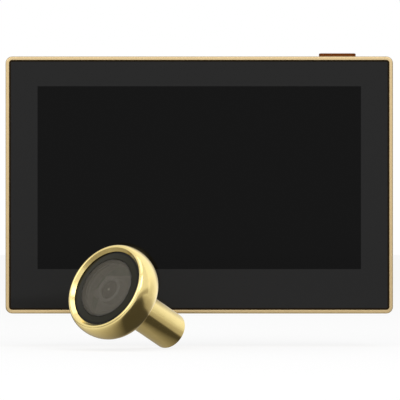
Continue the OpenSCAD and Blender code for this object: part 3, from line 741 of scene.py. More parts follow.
# %% Distance from the camera's axis
WINDOW_T = 1.0 * MM

facing = -Vector(MOUNTS["camera_barrel"]["axis"])
window_mid = sum(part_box("lens_window"), Vector()) / 2 + facing * WINDOW_T / 2


def off_axis(tree, at):
    """Distance from the camera's axis, in millimetres."""
    arm = vectors(tree, "SUBTRACT", at, window_mid / MM)[0]
    return vectors(tree, "LENGTH", vectors(tree, "CROSS_PRODUCT", arm, facing)[0])["Value"]


def fade_out(tree, at, radii, inner, outer):
    """One tone within the first radius, another past the second, and a fade between."""
    return mixed(tree, span(tree, off_axis(tree, at), *radii, 0.0, 1.0), inner, outer)


print("window's middle at", [round(part / MM, 1) for part in window_mid], "mm")

# %% [markdown]
# The camera looks out through a smoked window in a gloss black ring. Behind the
# smoke the lens shows faintly: a dark disc set in grey baffles, with a pale
# spot painted in its middle as a painted glint. Its rings could be painted on
# the window, but half clear glass before real pieces lets them shift with the
# view, as they really do.

# %% Window, ring and lens
SMOKE_LOW, SMOKE_HIGH = (0.127, 0.111, 0.079, 1), (0.135, 0.118, 0.084, 1)
SMOKE_SCALE, SMOKE_ROUGH, SMOKE_SHARE = 0.3, (0.05, 0.09), 0.5
WINDOW_RIM, RIM_TONE = (9.8, 10.5), (0.012, 0.011, 0.009, 1)
RING_LOW, RING_HIGH = (0.018, 0.017, 0.009, 1), (0.021, 0.020, 0.011, 1)
RING_SCALE, RING_ROUGH, RING_GLOSS = 0.4, (0.08, 0.14), 0.17
# Painted shadow: the ring turns near black past the first radius, towards the gold
RING_GAP_SHADOW, GAP_SHADOW_TONE = (12.2, 12.9), (0.002, 0.002, 0.001, 1)
LENS_LOW, LENS_HIGH = (0.004, 0.005, 0.010, 1), (0.007, 0.006, 0.013, 1)
LENS_SCALE, LENS_ROUGH, LENS_GLOSS = 0.8, (0.02, 0.05), 0.1
# Painted glint: a pale spot in the lens's middle
GLINT_RADII, GLINT_TONE = (0.35, 0.6), (0.75, 0.73, 0.68, 1)


def ringed(name, low, high, scale, rough, radii, inner=None, outer=None, **inputs):
    """A smudged finish that fades to another tone, within or past a distance from the axis."""
    material, tree, shader, at, tone, _ = smudged(name, low, high, scale, rough, **inputs)
    feed(tree, shader, Base_Color=fade_out(tree, at, radii, inner or tone, outer or tone))
    return material


add_finish("smoked_glass", ringed(
    "smoked_window", SMOKE_LOW, SMOKE_HIGH, SMOKE_SCALE, SMOKE_ROUGH, WINDOW_RIM,
    outer=RIM_TONE, IOR=1.5, Alpha=SMOKE_SHARE))
# The ring fades to a painted shadow, near black along its outer edge
add_finish("black_ring", ringed(
    "gloss_black_ring", RING_LOW, RING_HIGH, RING_SCALE, RING_ROUGH, RING_GAP_SHADOW,
    outer=GAP_SHADOW_TONE, IOR=1.5, Specular_IOR_Level=RING_GLOSS))
# The lens carries a painted glint: a pale spot within the first radius of its axis
add_finish("lens_glass", ringed(
    "coated_lens", LENS_LOW, LENS_HIGH, LENS_SCALE, LENS_ROUGH, GLINT_RADII,
    inner=GLINT_TONE, IOR=1.6, Specular_IOR_Level=LENS_GLOSS))

# %% [markdown]
# The cover, the chassis and the holders are moulded plastic, and the seals are
# rubber. Flat black would do in the dark inside, but the monitor's back shows
# its grain and its rubbed edges. One function serves every plastic, with a row
# of values for each.

# %% Plastic and rubber
PLASTIC_ROUGH, PLASTIC_WEAR, BARE_TIMES = (0.62, 0.48), 0.35, 3
# Name, two tones, grain's scale and depth
PLASTICS = {
    "black_plastic": ("moulded_black", (0.010, 0.010, 0.011, 1), (0.018, 0.018, 0.019, 1), 2.2, 0.03),
    "dark_plastic": ("inner_plastic", (0.014, 0.014, 0.016, 1), (0.024, 0.024, 0.027, 1), 4.0, 0.01),
    "grey_baffle": ("grey_baffle", (0.32, 0.31, 0.29, 1), (0.35, 0.34, 0.32, 1), 4.0, 0.01),
}
RUBBER_LOW, RUBBER_HIGH = (0.025, 0.013, 0.003, 1), (0.034, 0.019, 0.005, 1)
RUBBER_GRAIN, RUBBER_ROUGH, RUBBER_RELIEF = 4.0, (0.7, 0.85), 0.006


def moulded(name, low, high, scale, depth):
    material, tree, shader, at, tone = grained(name, low, high, scale, PLASTIC_ROUGH, depth, IOR=1.49)
    bare = tuple(min(1.0, BARE_TIMES * part) for part in high[:3]) + (1,)
    wear(tree, shader, at, tone, bare, PLASTIC_WEAR)
    return material


for slot, values in PLASTICS.items():
    add_finish(slot, moulded(*values))
add_finish("rubber", grained(
    "soft_rubber", RUBBER_LOW, RUBBER_HIGH, RUBBER_GRAIN, RUBBER_ROUGH, RUBBER_RELIEF,
    IOR=1.5, Specular_IOR_Level=0.1)[0])

# %% [markdown]
# The bracket is sheet steel with the lines of the rolling mill, and the screws
# are turned. A clean mirror would look like chrome, so lines, smudges and bare
# edges roughen it. Only the tones and the stretch of the lines differ.

# %% Steel
STEEL_BARE, STEEL_WEAR = (0.85, 0.85, 0.84, 1), 0.5
STEEL_SMUDGE, STEEL_SMEAR = 0.08, 0.12
STEEL_ROUGH, STEEL_RELIEF = (0.27, 0.4), 0.004
# Name, two tones and the stretch of the lines
STEELS = {
    "sheet_steel": ("rolled_sheet_steel", (0.5, 0.5, 0.49, 1), (0.66, 0.66, 0.65, 1), (0.05, 3.0, 3.0)),
    "screw_steel": ("turned_screw_steel", (0.42, 0.41, 0.40, 1), (0.6, 0.59, 0.57, 1), (2.0, 2.0, 2.0)),
}


def rolled_steel(name, low, high, stretch):
    material, tree, shader = new_finish(name, Metallic=1.0)
    at = surface(tree)
    lines = effect(tree, LINES, Vector=at, Stretch=stretch)
    smudge = effect(tree, SMUDGES, Vector=at, Scale=STEEL_SMUDGE, Least=0.0, Most=STEEL_SMEAR)
    wear(tree, shader, at, mixed(tree, lines["Mask"], low, high), STEEL_BARE, STEEL_WEAR)
    rough = sums(tree, "ADD", span(tree, lines["Mask"], 0.0, 1.0, *STEEL_ROUGH), smudge["Roughness"])
    feed(tree, shader, Roughness=rough)
    relief(tree, shader, lines["Height"], STEEL_RELIEF)
    return material


for slot, values in STEELS.items():
    add_finish(slot, rolled_steel(*values))

# %% [markdown]
# Inside lie the circuit board with its tracks under green lacquer, an amber
# flex, the battery's foil and the dark display. Flat colours could do for what
# the case hides, but whoever takes the cover off should find real materials.

# %% Board, flex, foil and display
BOARD_GREENS = {"Color1": (0.012, 0.085, 0.035, 1), "Color2": (0.016, 0.10, 0.042, 1),
                "Mortar": (0.03, 0.19, 0.08, 1)}
TRACK_SCALE, TRACK_WIDTH, TRACK_RELIEF = (0.8, 0.8, 0.8), 0.06, 0.02
BOARD_SMUDGE, BOARD_LEAST, BOARD_MOST = 0.2, 0.22, 0.34
FLEX_LOW, FLEX_HIGH = (0.36, 0.13, 0.02, 1), (0.5, 0.22, 0.05, 1)
FLEX_LINES, FLEX_ROUGH = (3.0, 0.02, 0.02), (0.28, 0.36)
FOIL_LOW, FOIL_HIGH = (0.6, 0.61, 0.63, 1), (0.72, 0.73, 0.75, 1)
FOIL_SCALE, FOIL_ROUGH, FOIL_CREASE = 0.35, (0.28, 0.48), 0.05
DISPLAY_LOW, DISPLAY_HIGH = (0.006, 0.006, 0.007, 1), (0.009, 0.009, 0.01, 1)
DISPLAY_SCALE, DISPLAY_ROUGH = 0.5, (0.2, 0.3)


def lacquered_board():
    material, tree, shader = new_finish("lacquered_board", IOR=1.5)
    at = surface(tree)
    tracks = place(tree, "ShaderNodeTexBrick", {
        "Vector": vectors(tree, "MULTIPLY", at, TRACK_SCALE)[0], **BOARD_GREENS,
        "Scale": 1.0, "Mortar Size": TRACK_WIDTH}).outputs
    smudge = effect(tree, SMUDGES, Vector=at, Scale=BOARD_SMUDGE, Least=BOARD_LEAST, Most=BOARD_MOST)
    feed(tree, shader, Base_Color=tracks["Color"], Roughness=smudge["Roughness"])
    relief(tree, shader, tracks["Fac"], TRACK_RELIEF)
    return material


def amber_flex():
    material, tree, shader = new_finish("amber_flex", IOR=1.6)
    lines = effect(tree, LINES, Vector=surface(tree), Stretch=FLEX_LINES)
    feed(tree, shader, Base_Color=mixed(tree, lines["Mask"], FLEX_LOW, FLEX_HIGH))
    feed(tree, shader, Roughness=span(tree, lines["Mask"], 0.0, 1.0, *FLEX_ROUGH))
    return material


def battery_foil():
    material, tree, shader, _, _, crease = smudged(
        "silver_foil_wrap", FOIL_LOW, FOIL_HIGH, FOIL_SCALE, FOIL_ROUGH, Metallic=0.9)
    relief(tree, shader, crease, FOIL_CREASE)
    return material


add_finish("board", lacquered_board())
add_finish("flex_amber", amber_flex())
add_finish("battery_foil", battery_foil())
add_finish("display", smudged(
    "dark_display", DISPLAY_LOW, DISPLAY_HIGH, DISPLAY_SCALE, DISPLAY_ROUGH, IOR=1.5)[0])

# %% [markdown]
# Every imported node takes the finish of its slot. The pieces round the lens take
# the grey baffle's finish instead: black ones would swallow the little light
# that comes through the smoke, and the lens would not stand out from them.

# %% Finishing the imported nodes
OWN_FINISH = dict.fromkeys(("spacer_ring", "lens_holder", "lens_barrel"), "grey_baffle")

for part in SUBPARTS:
    cad_mesh = NODES[part["node"]].data
    cad_mesh.materials.clear()
    cad_mesh.materials.append(FINISH[OWN_FINISH.get(part["node"], part["material_slot"])])
print("nodes finished:", len(SUBPARTS), "with", len(FINISH), "finishes")

# %% [markdown]
# ## Mesh helpers
#
# Nearly every piece here is a stack of rings: outlines that shrink, grow and
# step back, skinned with faces. A rounded rectangle makes the case, a bar with
# round ends makes the button, and a circle makes the camera unit. Modelling by
# hand would do, but rings keep each rounding exact and easy to change.

# %% Outlines
CORNER_STEPS = 8
TURN_STEPS = 144
LEAST_CORNER = 0.08 * MM


def arc(middle, radii, start, end, steps=CORNER_STEPS):
    """Points of an elliptic arc, with its angles in degrees."""
    points = []
    for i in range(steps + 1):
        angle = math.radians(start + (end - start) * i / steps)
        points.append((middle[0] + radii[0] * math.cos(angle), middle[1] + radii[1] * math.sin(angle)))
    return points


def rounded(width, height, corner):
    """An outline maker: a rectangle with round corners, drawn in by an inset."""
    def outline(inset):
        r = max(corner - inset, LEAST_CORNER)
        x, y = width / 2 - inset - r, height / 2 - inset - r
        corners = ((x, y, 0), (-x, y, 90), (-x, -y, 180), (x, -y, 270))
        return [point for mx, my, turn in corners for point in arc((mx, my), (r, r), turn, turn + 90)]
    return outline


def pill(length, width):
    """An outline maker: a bar with round ends."""
    def outline(inset):
        r = width / 2 - inset
        reach = (length - width) / 2
        right = arc((reach, 0), (r, r), -90, 90, 2 * CORNER_STEPS)
        return right + arc((-reach, 0), (r, r), 90, 270, 2 * CORNER_STEPS)
    return outline


def disc(radius, steps=TURN_STEPS):
    """An outline maker: a circle."""
    def outline(inset):
        return arc((0, 0), (radius - inset, radius - inset), 0, 360 * (steps - 1) / steps, steps - 1)
    return outline


print("points: rectangle", len(rounded(1, 1, 0)(0)), "bar", len(pill(2, 1)(0)), "circle", len(disc(1)(0)))

# %% [markdown]
# A skin joins the outlines of a stack, level by level, and closes its ends or
# its loop. Edges could be bridged by hand, but here every face is known. Doubled
# points are merged, and all faces are turned outwards.

# %% Skins
MERGE = 0.0005 * MM


def keep(name, mesh, slot=None):
    """An object at the origin for a mesh, in a slot's finish."""
    piece = bpy.data.objects.new(name, mesh)
    if slot:
        mesh.materials.append(FINISH[slot])
    SCENE.collection.objects.link(piece)
    return piece


def close_up(shape, mesh):
    """Merges a shape's doubled points, points every face outwards, and puts it in a mesh."""
    bmesh.ops.remove_doubles(shape, verts=shape.verts, dist=MERGE)
    bmesh.ops.recalc_face_normals(shape, faces=shape.faces)
    shape.to_mesh(mesh)
    shape.free()


def skin(name, outline, levels, place_at, slot=None, loop=False):
    """Skins a stack of outlines. Each level is (inset, height); a loop joins the last to the first."""
    shape = bmesh.new()
    rows = []
    for inset, height in levels:
        rows.append([shape.verts.new(place_at @ Vector((u, v, height))) for u, v in outline(inset)])
    pairs = list(zip(rows, rows[1:]))
    if loop:
        pairs.append((rows[-1], rows[0]))
    for low, high in pairs:
        for i in range(len(low)):
            j = (i + 1) % len(low)
            shape.faces.new((low[i], low[j], high[j], high[i]))
    if not loop:
        shape.faces.new(rows[0])
        shape.faces.new(rows[-1])
    mesh = bpy.data.meshes.new(name)
    close_up(shape, mesh)
    return keep(name, mesh, slot)


print("points nearer than", round(MERGE / MM, 4), "mm are merged")

# %% [markdown]
# Openings are cut with exact booleans, and each modifier becomes plain mesh at
# once. A finished piece is shaded smooth with its true edges sharp, and told
# which body it rides on, and the imported nodes it stands for are hidden.

# %% Cutting and dressing
SMOOTH_ANGLE = math.radians(32)


def settle(piece):
    """Turns a piece's modifiers into plain mesh."""
    graph = bpy.context.evaluated_depsgraph_get()
    mesh = bpy.data.meshes.new_from_object(piece.evaluated_get(graph))
    piece.modifiers.clear()
    piece.data = mesh


def cut(piece, *cutters):
    """Cuts the cutters out of a piece, and takes them away."""
    for cutter in cutters:
        modifier = piece.modifiers.new("cut", "BOOLEAN")
        modifier.object = cutter
        modifier.operation = "DIFFERENCE"
        modifier.solver = "EXACT"
    settle(piece)
    for cutter in cutters:
        bpy.data.objects.remove(cutter)


def soften(piece):
    """Smooth shading with true sharp edges, and flat faces kept flat."""
    mesh = piece.data
    mesh.polygons.foreach_set("use_smooth", [True] * len(mesh.polygons))
    mesh.set_sharp_from_angle(angle=SMOOTH_ANGLE)
    even = piece.modifiers.new("even_normals", "WEIGHTED_NORMAL")
    even.keep_sharp = True
    settle(piece)


def dress(piece, body, slot, *nodes):
    """Softens a finished piece, lets it ride on its body and hides the nodes it stands for."""
    soften(piece)
    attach(piece, body)
    if nodes:
        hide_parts(*nodes)
    print(piece.name, "-", len(piece.data.polygons), "faces")


print("edges sharper than", round(math.degrees(SMOOTH_ANGLE)), "degrees stay sharp")

# %% [markdown]
# Outlines are drawn flat, as (u, v) points with a height. Objects could be turned
# into place, but here each stays at the origin, and a small matrix lays its mesh
# on the monitor's front, its top or its right side.

# %% Placing outlines on the object
def facing_room(x=0.0, z=0.0):
    """Places (u, v, h) as (x + u, h, z + v): drawn as seen from the room, with h into the door."""
    return Matrix(((1, 0, 0, x), (0, 0, 1, 0), (0, 1, 0, z), (0, 0, 0, 1)))


def facing_up(x, y):
    """Places (u, v, h) as (x + u, y + v, h)."""
    return Matrix.Translation((x, y, 0))


def facing_right(y, z):
    """Places (u, v, h) as (h, y + v, z + u): for openings in the band's right wall."""
    return Matrix(((0, 0, 1, 0), (0, 1, 0, y), (1, 0, 0, z), (0, 0, 0, 1)))


def middle(node):
    """The middle of a node's box."""
    low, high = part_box(node)
    return (low + high) / 2


print("monitor's middle at", [round(part / MM, 1) for part in middle("front_frame")], "mm")

# %% [markdown]
# ## Geometry Nodes: pieces that follow a rule
#
# Small trees make what follows a rule: turned pieces, pieces in columns and
# rows, and a thread. Loops in the script could do that too, but a tree keeps
# its rule in one place, with named inputs. Each ends by making everything real
# and giving it a finish, and the result is turned into a plain mesh.

# %% Starting a tree
OBJECT, WHOLE, MATERIAL = "NodeSocketObject", "NodeSocketInt", "NodeSocketMaterial"


def new_tree(name, *sockets):
    """An empty tree with named inputs, their identifiers and the input node."""
    tree = bpy.data.node_groups.new(name, "GeometryNodeTree")
    ids = {}
    for label, kind in sockets:
        ids[label] = tree.interface.new_socket(label, in_out="INPUT", socket_type=kind).identifier
    tree.interface.new_socket("Geometry", in_out="OUTPUT", socket_type="NodeSocketGeometry")
    print("tree:", name, "with", ", ".join(ids))
    return tree, ids, tree.nodes.new("NodeGroupInput").outputs


def end_tree(tree, geometry, finish):
    """Makes the geometry real, gives it its finish and puts it out."""
    real = place(tree, "GeometryNodeRealizeInstances", {"Geometry": geometry})
    finished = place(tree, "GeometryNodeSetMaterial", {"Geometry": real.outputs[0], "Material": finish})
    place(tree, "NodeGroupOutput", {"Geometry": finished.outputs[0]})


def grow(name, tree, ids, values, place_at):
    """Runs a tree with its inputs set by identifier, as one plain closed mesh."""
    piece = keep(name, bpy.data.meshes.new(name))
    modifier = piece.modifiers.new(tree.name, "NODES")
    modifier.node_group = tree
    for label, value in values.items():
        modifier[ids[label]] = value
    settle(piece)
    piece.data.transform(place_at)
    shape = bmesh.new()
    shape.from_mesh(piece.data)
    close_up(shape, piece.data)
    return piece


print("inputs of a tree:", OBJECT, WHOLE, MATERIAL)

# %% [markdown]
# The camera unit's pieces and the screws come off a lathe. Blender can spin an
# outline step by step, but this tree sweeps it round a circle, and the number of
# steps is an input.

# %% Turning a half outline about an axis
TURN_R = 10 * MM


def build_turning():
    tree, ids, takes = new_tree("turning", ("Outline", OBJECT), ("Steps", WHOLE), ("Finish", MATERIAL))
    drawn = place(tree, "GeometryNodeObjectInfo", {"Object": takes["Outline"]})
    line = place(tree, "GeometryNodeMeshToCurve", {"Mesh": drawn.outputs["Geometry"]})
    circle = place(tree, "GeometryNodeCurvePrimitiveCircle", {
        "Resolution": takes["Steps"], "Radius": TURN_R})
    swept = place(tree, "GeometryNodeCurveToMesh", {
        "Curve": circle.outputs["Curve"], "Profile Curve": line.outputs["Curve"]})
    end_tree(tree, swept.outputs["Mesh"], takes["Finish"])
    return tree, ids


TURNING = build_turning()


def turned(name, outline, place_at, slot, loop=True, steps=TURN_STEPS):
    """Turns (radius, height) points about an axis; an outline that is no loop starts and ends on the axis."""
    mesh = bpy.data.meshes.new(name + "_outline")
    count = len(outline)
    edges = [(i, (i + 1) % count) for i in range(count if loop else count - 1)]
    mesh.from_pydata([(radius - TURN_R, -height, 0) for radius, height in outline], edges, [])
    drawn = keep(name + "_outline", mesh)
    piece = grow(name, *TURNING, {"Outline": drawn, "Steps": steps, "Finish": FINISH[slot]}, place_at)
    bpy.data.objects.remove(drawn)
    return piece


# %% [markdown]
# Screws, holes, hooks and contacts stand in columns and rows. Array modifiers
# could copy them, one for each direction, but one tree with a grid of points
# serves them all.

# %% Setting a piece out in columns and rows
def build_set_out():
    tree, ids, takes = new_tree(
        "set_out", ("Columns", WHOLE), ("Rows", WHOLE), ("Across", FLOAT), ("Up", FLOAT),
        ("Piece", OBJECT), ("Finish", MATERIAL))
    width = sums(tree, "MULTIPLY", sums(tree, "SUBTRACT", takes["Columns"], 1.0), takes["Across"])
    height = sums(tree, "MULTIPLY", sums(tree, "SUBTRACT", takes["Rows"], 1.0), takes["Up"])
    grid = place(tree, "GeometryNodeMeshGrid", {
        "Size X": width, "Size Y": height, "Vertices X": takes["Columns"], "Vertices Y": takes["Rows"]})
    source = place(tree, "GeometryNodeObjectInfo", {"Object": takes["Piece"], "As Instance": True})
    copies = place(tree, "GeometryNodeInstanceOnPoints", {
        "Points": grid.outputs["Mesh"], "Instance": source.outputs["Geometry"]})
    end_tree(tree, copies.outputs[0], takes["Finish"])
    return tree, ids


SET_OUT = build_set_out()


def set_out(name, piece, counts, pitches, place_at, slot):
    """Copies of a piece on a grid of (columns, rows), as one mesh. The piece itself is taken away."""
    values = {"Columns": counts[0], "Rows": counts[1], "Across": pitches[0], "Up": pitches[1],
              "Piece": piece, "Finish": FINISH[slot]}
    grid = grow(name, *SET_OUT, values, place_at)
    bpy.data.objects.remove(piece)
    return grid


# %% [markdown]
# ## The gold band
#
# The band frames the glass with a narrow lip and runs back along the edge of
# the case. Its outer edge is rounded and its inner edge has a fine chamfer,
# which is where a real band catches the light. It could be a bevelled box, but
# one section carried round the case gives every edge its own rounding.

# %% Band
CASE_CORNER = 2.3 * MM
LIP = 1.25 * MM
LIP_ROUND = 0.45 * MM
LIP_CHAMFER = 0.12 * MM
LEDGE = 2.3 * MM
LEDGE_T = 1.0 * MM
BAND_WALL = 1.6 * MM
BACK_CHAMFER = 0.25 * MM

case_size = case_high - case_low
y_front, y_band = case_low.y, case_high.y
y_glass, y_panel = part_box("cover_glass")[0].y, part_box("cover_glass")[1].y
y_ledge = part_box("glass_gasket")[1].y
y_rim = y_ledge + LEDGE_T
case_outline = rounded(case_size.x, case_size.z, CASE_CORNER)

band = skin("gold_band", case_outline, [
    (BACK_CHAMFER, y_band), (0, y_band - BACK_CHAMFER),
    *arc((LIP_ROUND, y_front + LIP_ROUND), (LIP_ROUND, LIP_ROUND), 180, 270),
    (LIP - LIP_CHAMFER, y_front), (LIP, y_front + LIP_CHAMFER), (LIP, y_ledge),
    (LIP + LEDGE, y_ledge), (LIP + LEDGE, y_rim), (BAND_WALL, y_rim), (BAND_WALL, y_band),
], facing_room(), "gold_band", loop=True)
print("case:", [round(side / MM, 1) for side in case_size], "mm")

# %% [markdown]
# Openings go through the band's wall for the button, the charging socket, the
# card, the speaker and the microphone. Plain cutters would leave raw edges, so
# each is flared at its mouth, and every opening gets a chamfer. The first two
# take their sizes from the piece that fills them.

# %% Cutters for the band
FLARE = 0.18 * MM
REACH = 0.5 * MM
BUTTON_SIZE = (12.7 * MM, 3.0 * MM)
BUTTON_CLEAR = 0.15 * MM
USB_CLEAR = 0.25 * MM
HOLE_STEPS = 32


def opening(name, outline, surface_at, place_at, outward=1):
    """A flared cutter through the band's wall, with its mouth at a height on the outer face."""
    inner = surface_at - outward * (BAND_WALL + REACH)
    edge = surface_at - outward * FLARE
    outer = surface_at + outward * REACH
    return skin(name, outline, [(0, inner), (0, edge), (-FLARE - REACH, outer)], place_at)


button_mid, usb_mid = middle("power_button"), middle("usb_socket")
usb_low, usb_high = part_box("usb_socket")
usb_size = (usb_high.z - usb_low.z, usb_high.y - usb_low.y)
button_slot = opening(
    "button_slot", pill(*(side + 2 * BUTTON_CLEAR for side in BUTTON_SIZE)),
    case_high.z, facing_up(button_mid.x, button_mid.y))
usb_slot = opening(
    "usb_slot", pill(*(side + 2 * USB_CLEAR for side in usb_size)),
    case_high.x, facing_right(usb_mid.y, usb_mid.z))
print("socket:", [round(side / MM, 2) for side in usb_size], "mm")

# %% [markdown]
# The card's slot is on the right side, and the speaker and the microphone sound
# through holes below. Sixteen holes could be placed one by one, but one cutter,
# set out in columns and rows, makes the whole field. All are cut together.

# %% Openings in the band
CARD_SLOT = (11.9 * MM, 1.4 * MM)
SLOT_CORNER = 0.3 * MM
SPEAKER_HOLE_R = 0.6 * MM
SPEAKER_PITCH = 2.2 * MM
SPEAKER_GRID = (8, 2)
MIC_HOLE_R = 0.5 * MM

card_mid, speaker_mid, mic_mid = middle("card_socket"), middle("speaker"), middle("microphone")
card_slot = opening(
    "card_slot", rounded(*CARD_SLOT, SLOT_CORNER), case_high.x, facing_right(card_mid.y, card_mid.z))
mic_slot = opening(
    "mic_slot", disc(MIC_HOLE_R, HOLE_STEPS), case_low.z, facing_up(mic_mid.x, mic_mid.y), -1)
speaker_pin = opening("speaker_pin", disc(SPEAKER_HOLE_R, HOLE_STEPS), case_low.z, Matrix(), -1)
speaker_slots = set_out(
    "speaker_slots", speaker_pin, SPEAKER_GRID, (SPEAKER_PITCH, SPEAKER_PITCH),
    facing_up(speaker_mid.x, speaker_mid.y), "gold_band")
cut(band, button_slot, usb_slot, card_slot, mic_slot, speaker_slots)
dress(band, "monitor", "gold_band", "front_frame")

# %% [markdown]
# ## Glass and its gasket
#
# The glass lies a hair behind the lip. Its front edge is ground round, and a
# dark rubber gasket fills the line between glass and gold. That line could be
# printed on the glass, but a real gap with a round bead in it keeps its shade
# from every side. Both use the case's own outline, drawn in.

# %% Glass and gasket
GASKET = 0.5 * MM
GASKET_TOP = 0.3 * MM
GLASS_EDGE = 0.22 * MM
GLASS_CHAMFER = 0.1 * MM

glass_in, ledge_in = LIP + GASKET, LIP + LEDGE
glass = skin("cover_glass_sheet", case_outline, [
    (glass_in + GLASS_CHAMFER, y_panel), (glass_in, y_panel - GLASS_CHAMFER),
    *arc((glass_in + GLASS_EDGE, y_glass + GLASS_EDGE), (GLASS_EDGE, GLASS_EDGE), 180, 270),
], facing_room(), "black_glass")
dress(glass, "monitor", "black_glass", "cover_glass")

gasket_r = GASKET / 2
gasket = skin("glass_gasket_line", case_outline, [
    (LIP, y_ledge),
    *arc((LIP + gasket_r, y_front + GASKET_TOP + gasket_r), (gasket_r, gasket_r), 180, 360),
    (glass_in, y_panel), (ledge_in, y_panel), (ledge_in, y_ledge),
], facing_room(), "rubber", loop=True)
dress(gasket, "monitor", "rubber", "glass_gasket")

# %% [markdown]
# ## The power button
#
# A copper bar with round ends stands a little over a millimetre out of the top
# edge. Inside it has a flange that stops it under the band, and a stem that
# meets the switch. A plain bar would look the same from outside, but nothing
# would hold it in or reach the switch. Its upper edge is rounded.

# %% Button
BUTTON_LAP = 1.0 * MM
BUTTON_FLANGE = 0.8 * MM
BUTTON_ROUND = 0.35 * MM
STEM_R = 1.2 * MM
STEM_SINK = 0.2 * MM

button_low, button_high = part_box("power_button")
flange_top = case_high.z - BAND_WALL - BUTTON_CLEAR
flange_low = flange_top - BUTTON_FLANGE
at_button = facing_up(button_mid.x, button_mid.y)
button = skin("power_button_bar", pill(*BUTTON_SIZE), [
    (-BUTTON_LAP, flange_low), (-BUTTON_LAP, flange_top), (0, flange_top),
    *arc((BUTTON_ROUND, button_high.z - BUTTON_ROUND), (BUTTON_ROUND, BUTTON_ROUND), 180, 90),
], at_button, "copper_button")
stem = skin("power_button_stem", disc(STEM_R, HOLE_STEPS), [
    (0, button_low.z), (0, flange_low + STEM_SINK)], at_button, "copper_button")
dress(button, "power_button", "copper_button", "power_button")
dress(stem, "power_button", "copper_button")

# %% [markdown]
# ## The rear cover
#
# The back of the monitor is a shallow tray of moulded black plastic with a
# round back edge. A tongue on it slips inside the band. It could be a hollowed
# block, but its section drawn once holds wall, tongue and rounding together.

# %% Cover tray
COVER_CORNER = 1.9 * MM
COVER_ROUND = 1.0 * MM
COVER_BACK = 1.6 * MM
TONGUE_INSET = 1.35 * MM
TONGUE_T = 0.9 * MM
TONGUE_CHAMFER = 0.15 * MM

cover_low, cover_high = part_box("rear_cover")
y_back, y_tongue = cover_high.y, cover_low.y
y_wall = y_back - COVER_BACK
cover_inset = TONGUE_INSET + TONGUE_T
cover_outline = rounded(cover_high.x - cover_low.x, cover_high.z - cover_low.z, COVER_CORNER)
cover = skin("rear_cover_tray", cover_outline, [
    (cover_inset, y_wall), (cover_inset, y_tongue), (TONGUE_INSET + TONGUE_CHAMFER, y_tongue),
    (TONGUE_INSET, y_tongue + TONGUE_CHAMFER), (TONGUE_INSET, y_band), (0, y_band),
    *arc((COVER_ROUND, y_back - COVER_ROUND), (COVER_ROUND, COVER_ROUND), 180, 90),
], facing_room(), "black_plastic")
print("cover back at", round(y_back / MM, 2), "mm")

# %% [markdown]
# The cover drops over four hooks and is held by four screws. Their places could
# be typed in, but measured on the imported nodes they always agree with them.

# %% Places of the hooks and screws
HOOK_W = 8 * MM
HOOK_T = 1.2 * MM
HOOK_LIP = 4 * MM
SCREW_HEAD_R = 2.2 * MM
GRID = (2, 2)

hooks_low, hooks_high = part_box("bracket_hooks")
hook_pitches = (hooks_high.x - hooks_low.x - HOOK_W, hooks_high.z - hooks_low.z - HOOK_T - HOOK_LIP)
hook_mid_z = hooks_low.z + hook_pitches[1] / 2
screws_low, screws_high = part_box("cover_screws")
screw_pitches = (screws_high.x - screws_low.x - 2 * SCREW_HEAD_R,
                 screws_high.z - screws_low.z - 2 * SCREW_HEAD_R)
for name, pitches in (("hooks", hook_pitches), ("screws", screw_pitches)):
    print(name, [round(pitch / MM, 2) for pitch in pitches], "mm apart")

# %% [markdown]
# The cover has a way for the ribbon, a notch for the button, four slots for the
# hooks and four seats for the screws. Each could be cut one by one, but a single
# cutter of each kind, set out by the tree, keeps the four alike.

# %% Openings in the cover
RIBBON_R = 11 * MM
HOOK_CLEAR = 0.3 * MM
UNHOOK_LIFT = 5 * MM
SLOT_TOP_CLEAR = 0.15 * MM
SCREW_HEAD_T = 0.8 * MM
SCREW_ROOM = 0.3 * MM
SCREW_HOLE_R = 1.1 * MM

slot_size = (HOOK_W + 2 * HOOK_CLEAR, UNHOOK_LIFT + HOOK_T + HOOK_CLEAR + SLOT_TOP_CLEAR)
slot_z = hook_mid_z + HOOK_T + SLOT_TOP_CLEAR - slot_size[1] / 2
head_seat = y_back - SCREW_HEAD_T


def through_back(name, outline, low=y_wall - REACH, place_at=Matrix()):
    """A cutter through the cover's back, flared at the mouth."""
    levels = [(0, low), (0, y_back - FLARE), (-FLARE - REACH, y_back + REACH)]
    return skin(name, outline, levels, place_at)


def four(name, piece, pitches, slot, z=0.0):
    """Four copies of a piece about the middle of the monitor's back."""
    return set_out(name, piece, GRID, pitches, facing_room(0, z), slot)


ribbon_way = through_back("ribbon_way", disc(RIBBON_R), place_at=facing_room())
notch_size = (BUTTON_SIZE[0] + 2 * (BUTTON_LAP + BUTTON_CLEAR), 4 * TONGUE_T)
notch = skin("button_notch", rounded(*notch_size, LEAST_CORNER),
             [(0, y_tongue - REACH), (0, y_band)], facing_room(button_mid.x, case_high.z - BAND_WALL))
hook_slot = through_back("slot", rounded(*slot_size, SLOT_CORNER))
screw_way = through_back("way", disc(SCREW_HOLE_R, HOLE_STEPS))
screw_seat = through_back("seat", disc(SCREW_HEAD_R + SCREW_ROOM, HOLE_STEPS), head_seat)
cut(cover, ribbon_way, notch,
    four("hook_slots", hook_slot, hook_pitches, "black_plastic", slot_z),
    four("screw_ways", screw_way, screw_pitches, "black_plastic"),
    four("screw_seats", screw_seat, screw_pitches, "black_plastic"))
dress(cover, "monitor", "black_plastic", "rear_cover")

# %% [markdown]
# One screw is turned with a rounded head, and a cross is cut into it. Four
# could be placed by hand, but the tree that set out the holes sets out the
# screws too, so that they always agree.

# %% Cover screws
SCREW_R = 0.8 * MM
SCREW_ROUND = 0.3 * MM
SCREW_STEPS = 5
CROSS = (2.3 * MM, 0.55 * MM)
CROSS_DEPTH = 0.5 * MM
CROSS_TAPER = 0.12 * MM

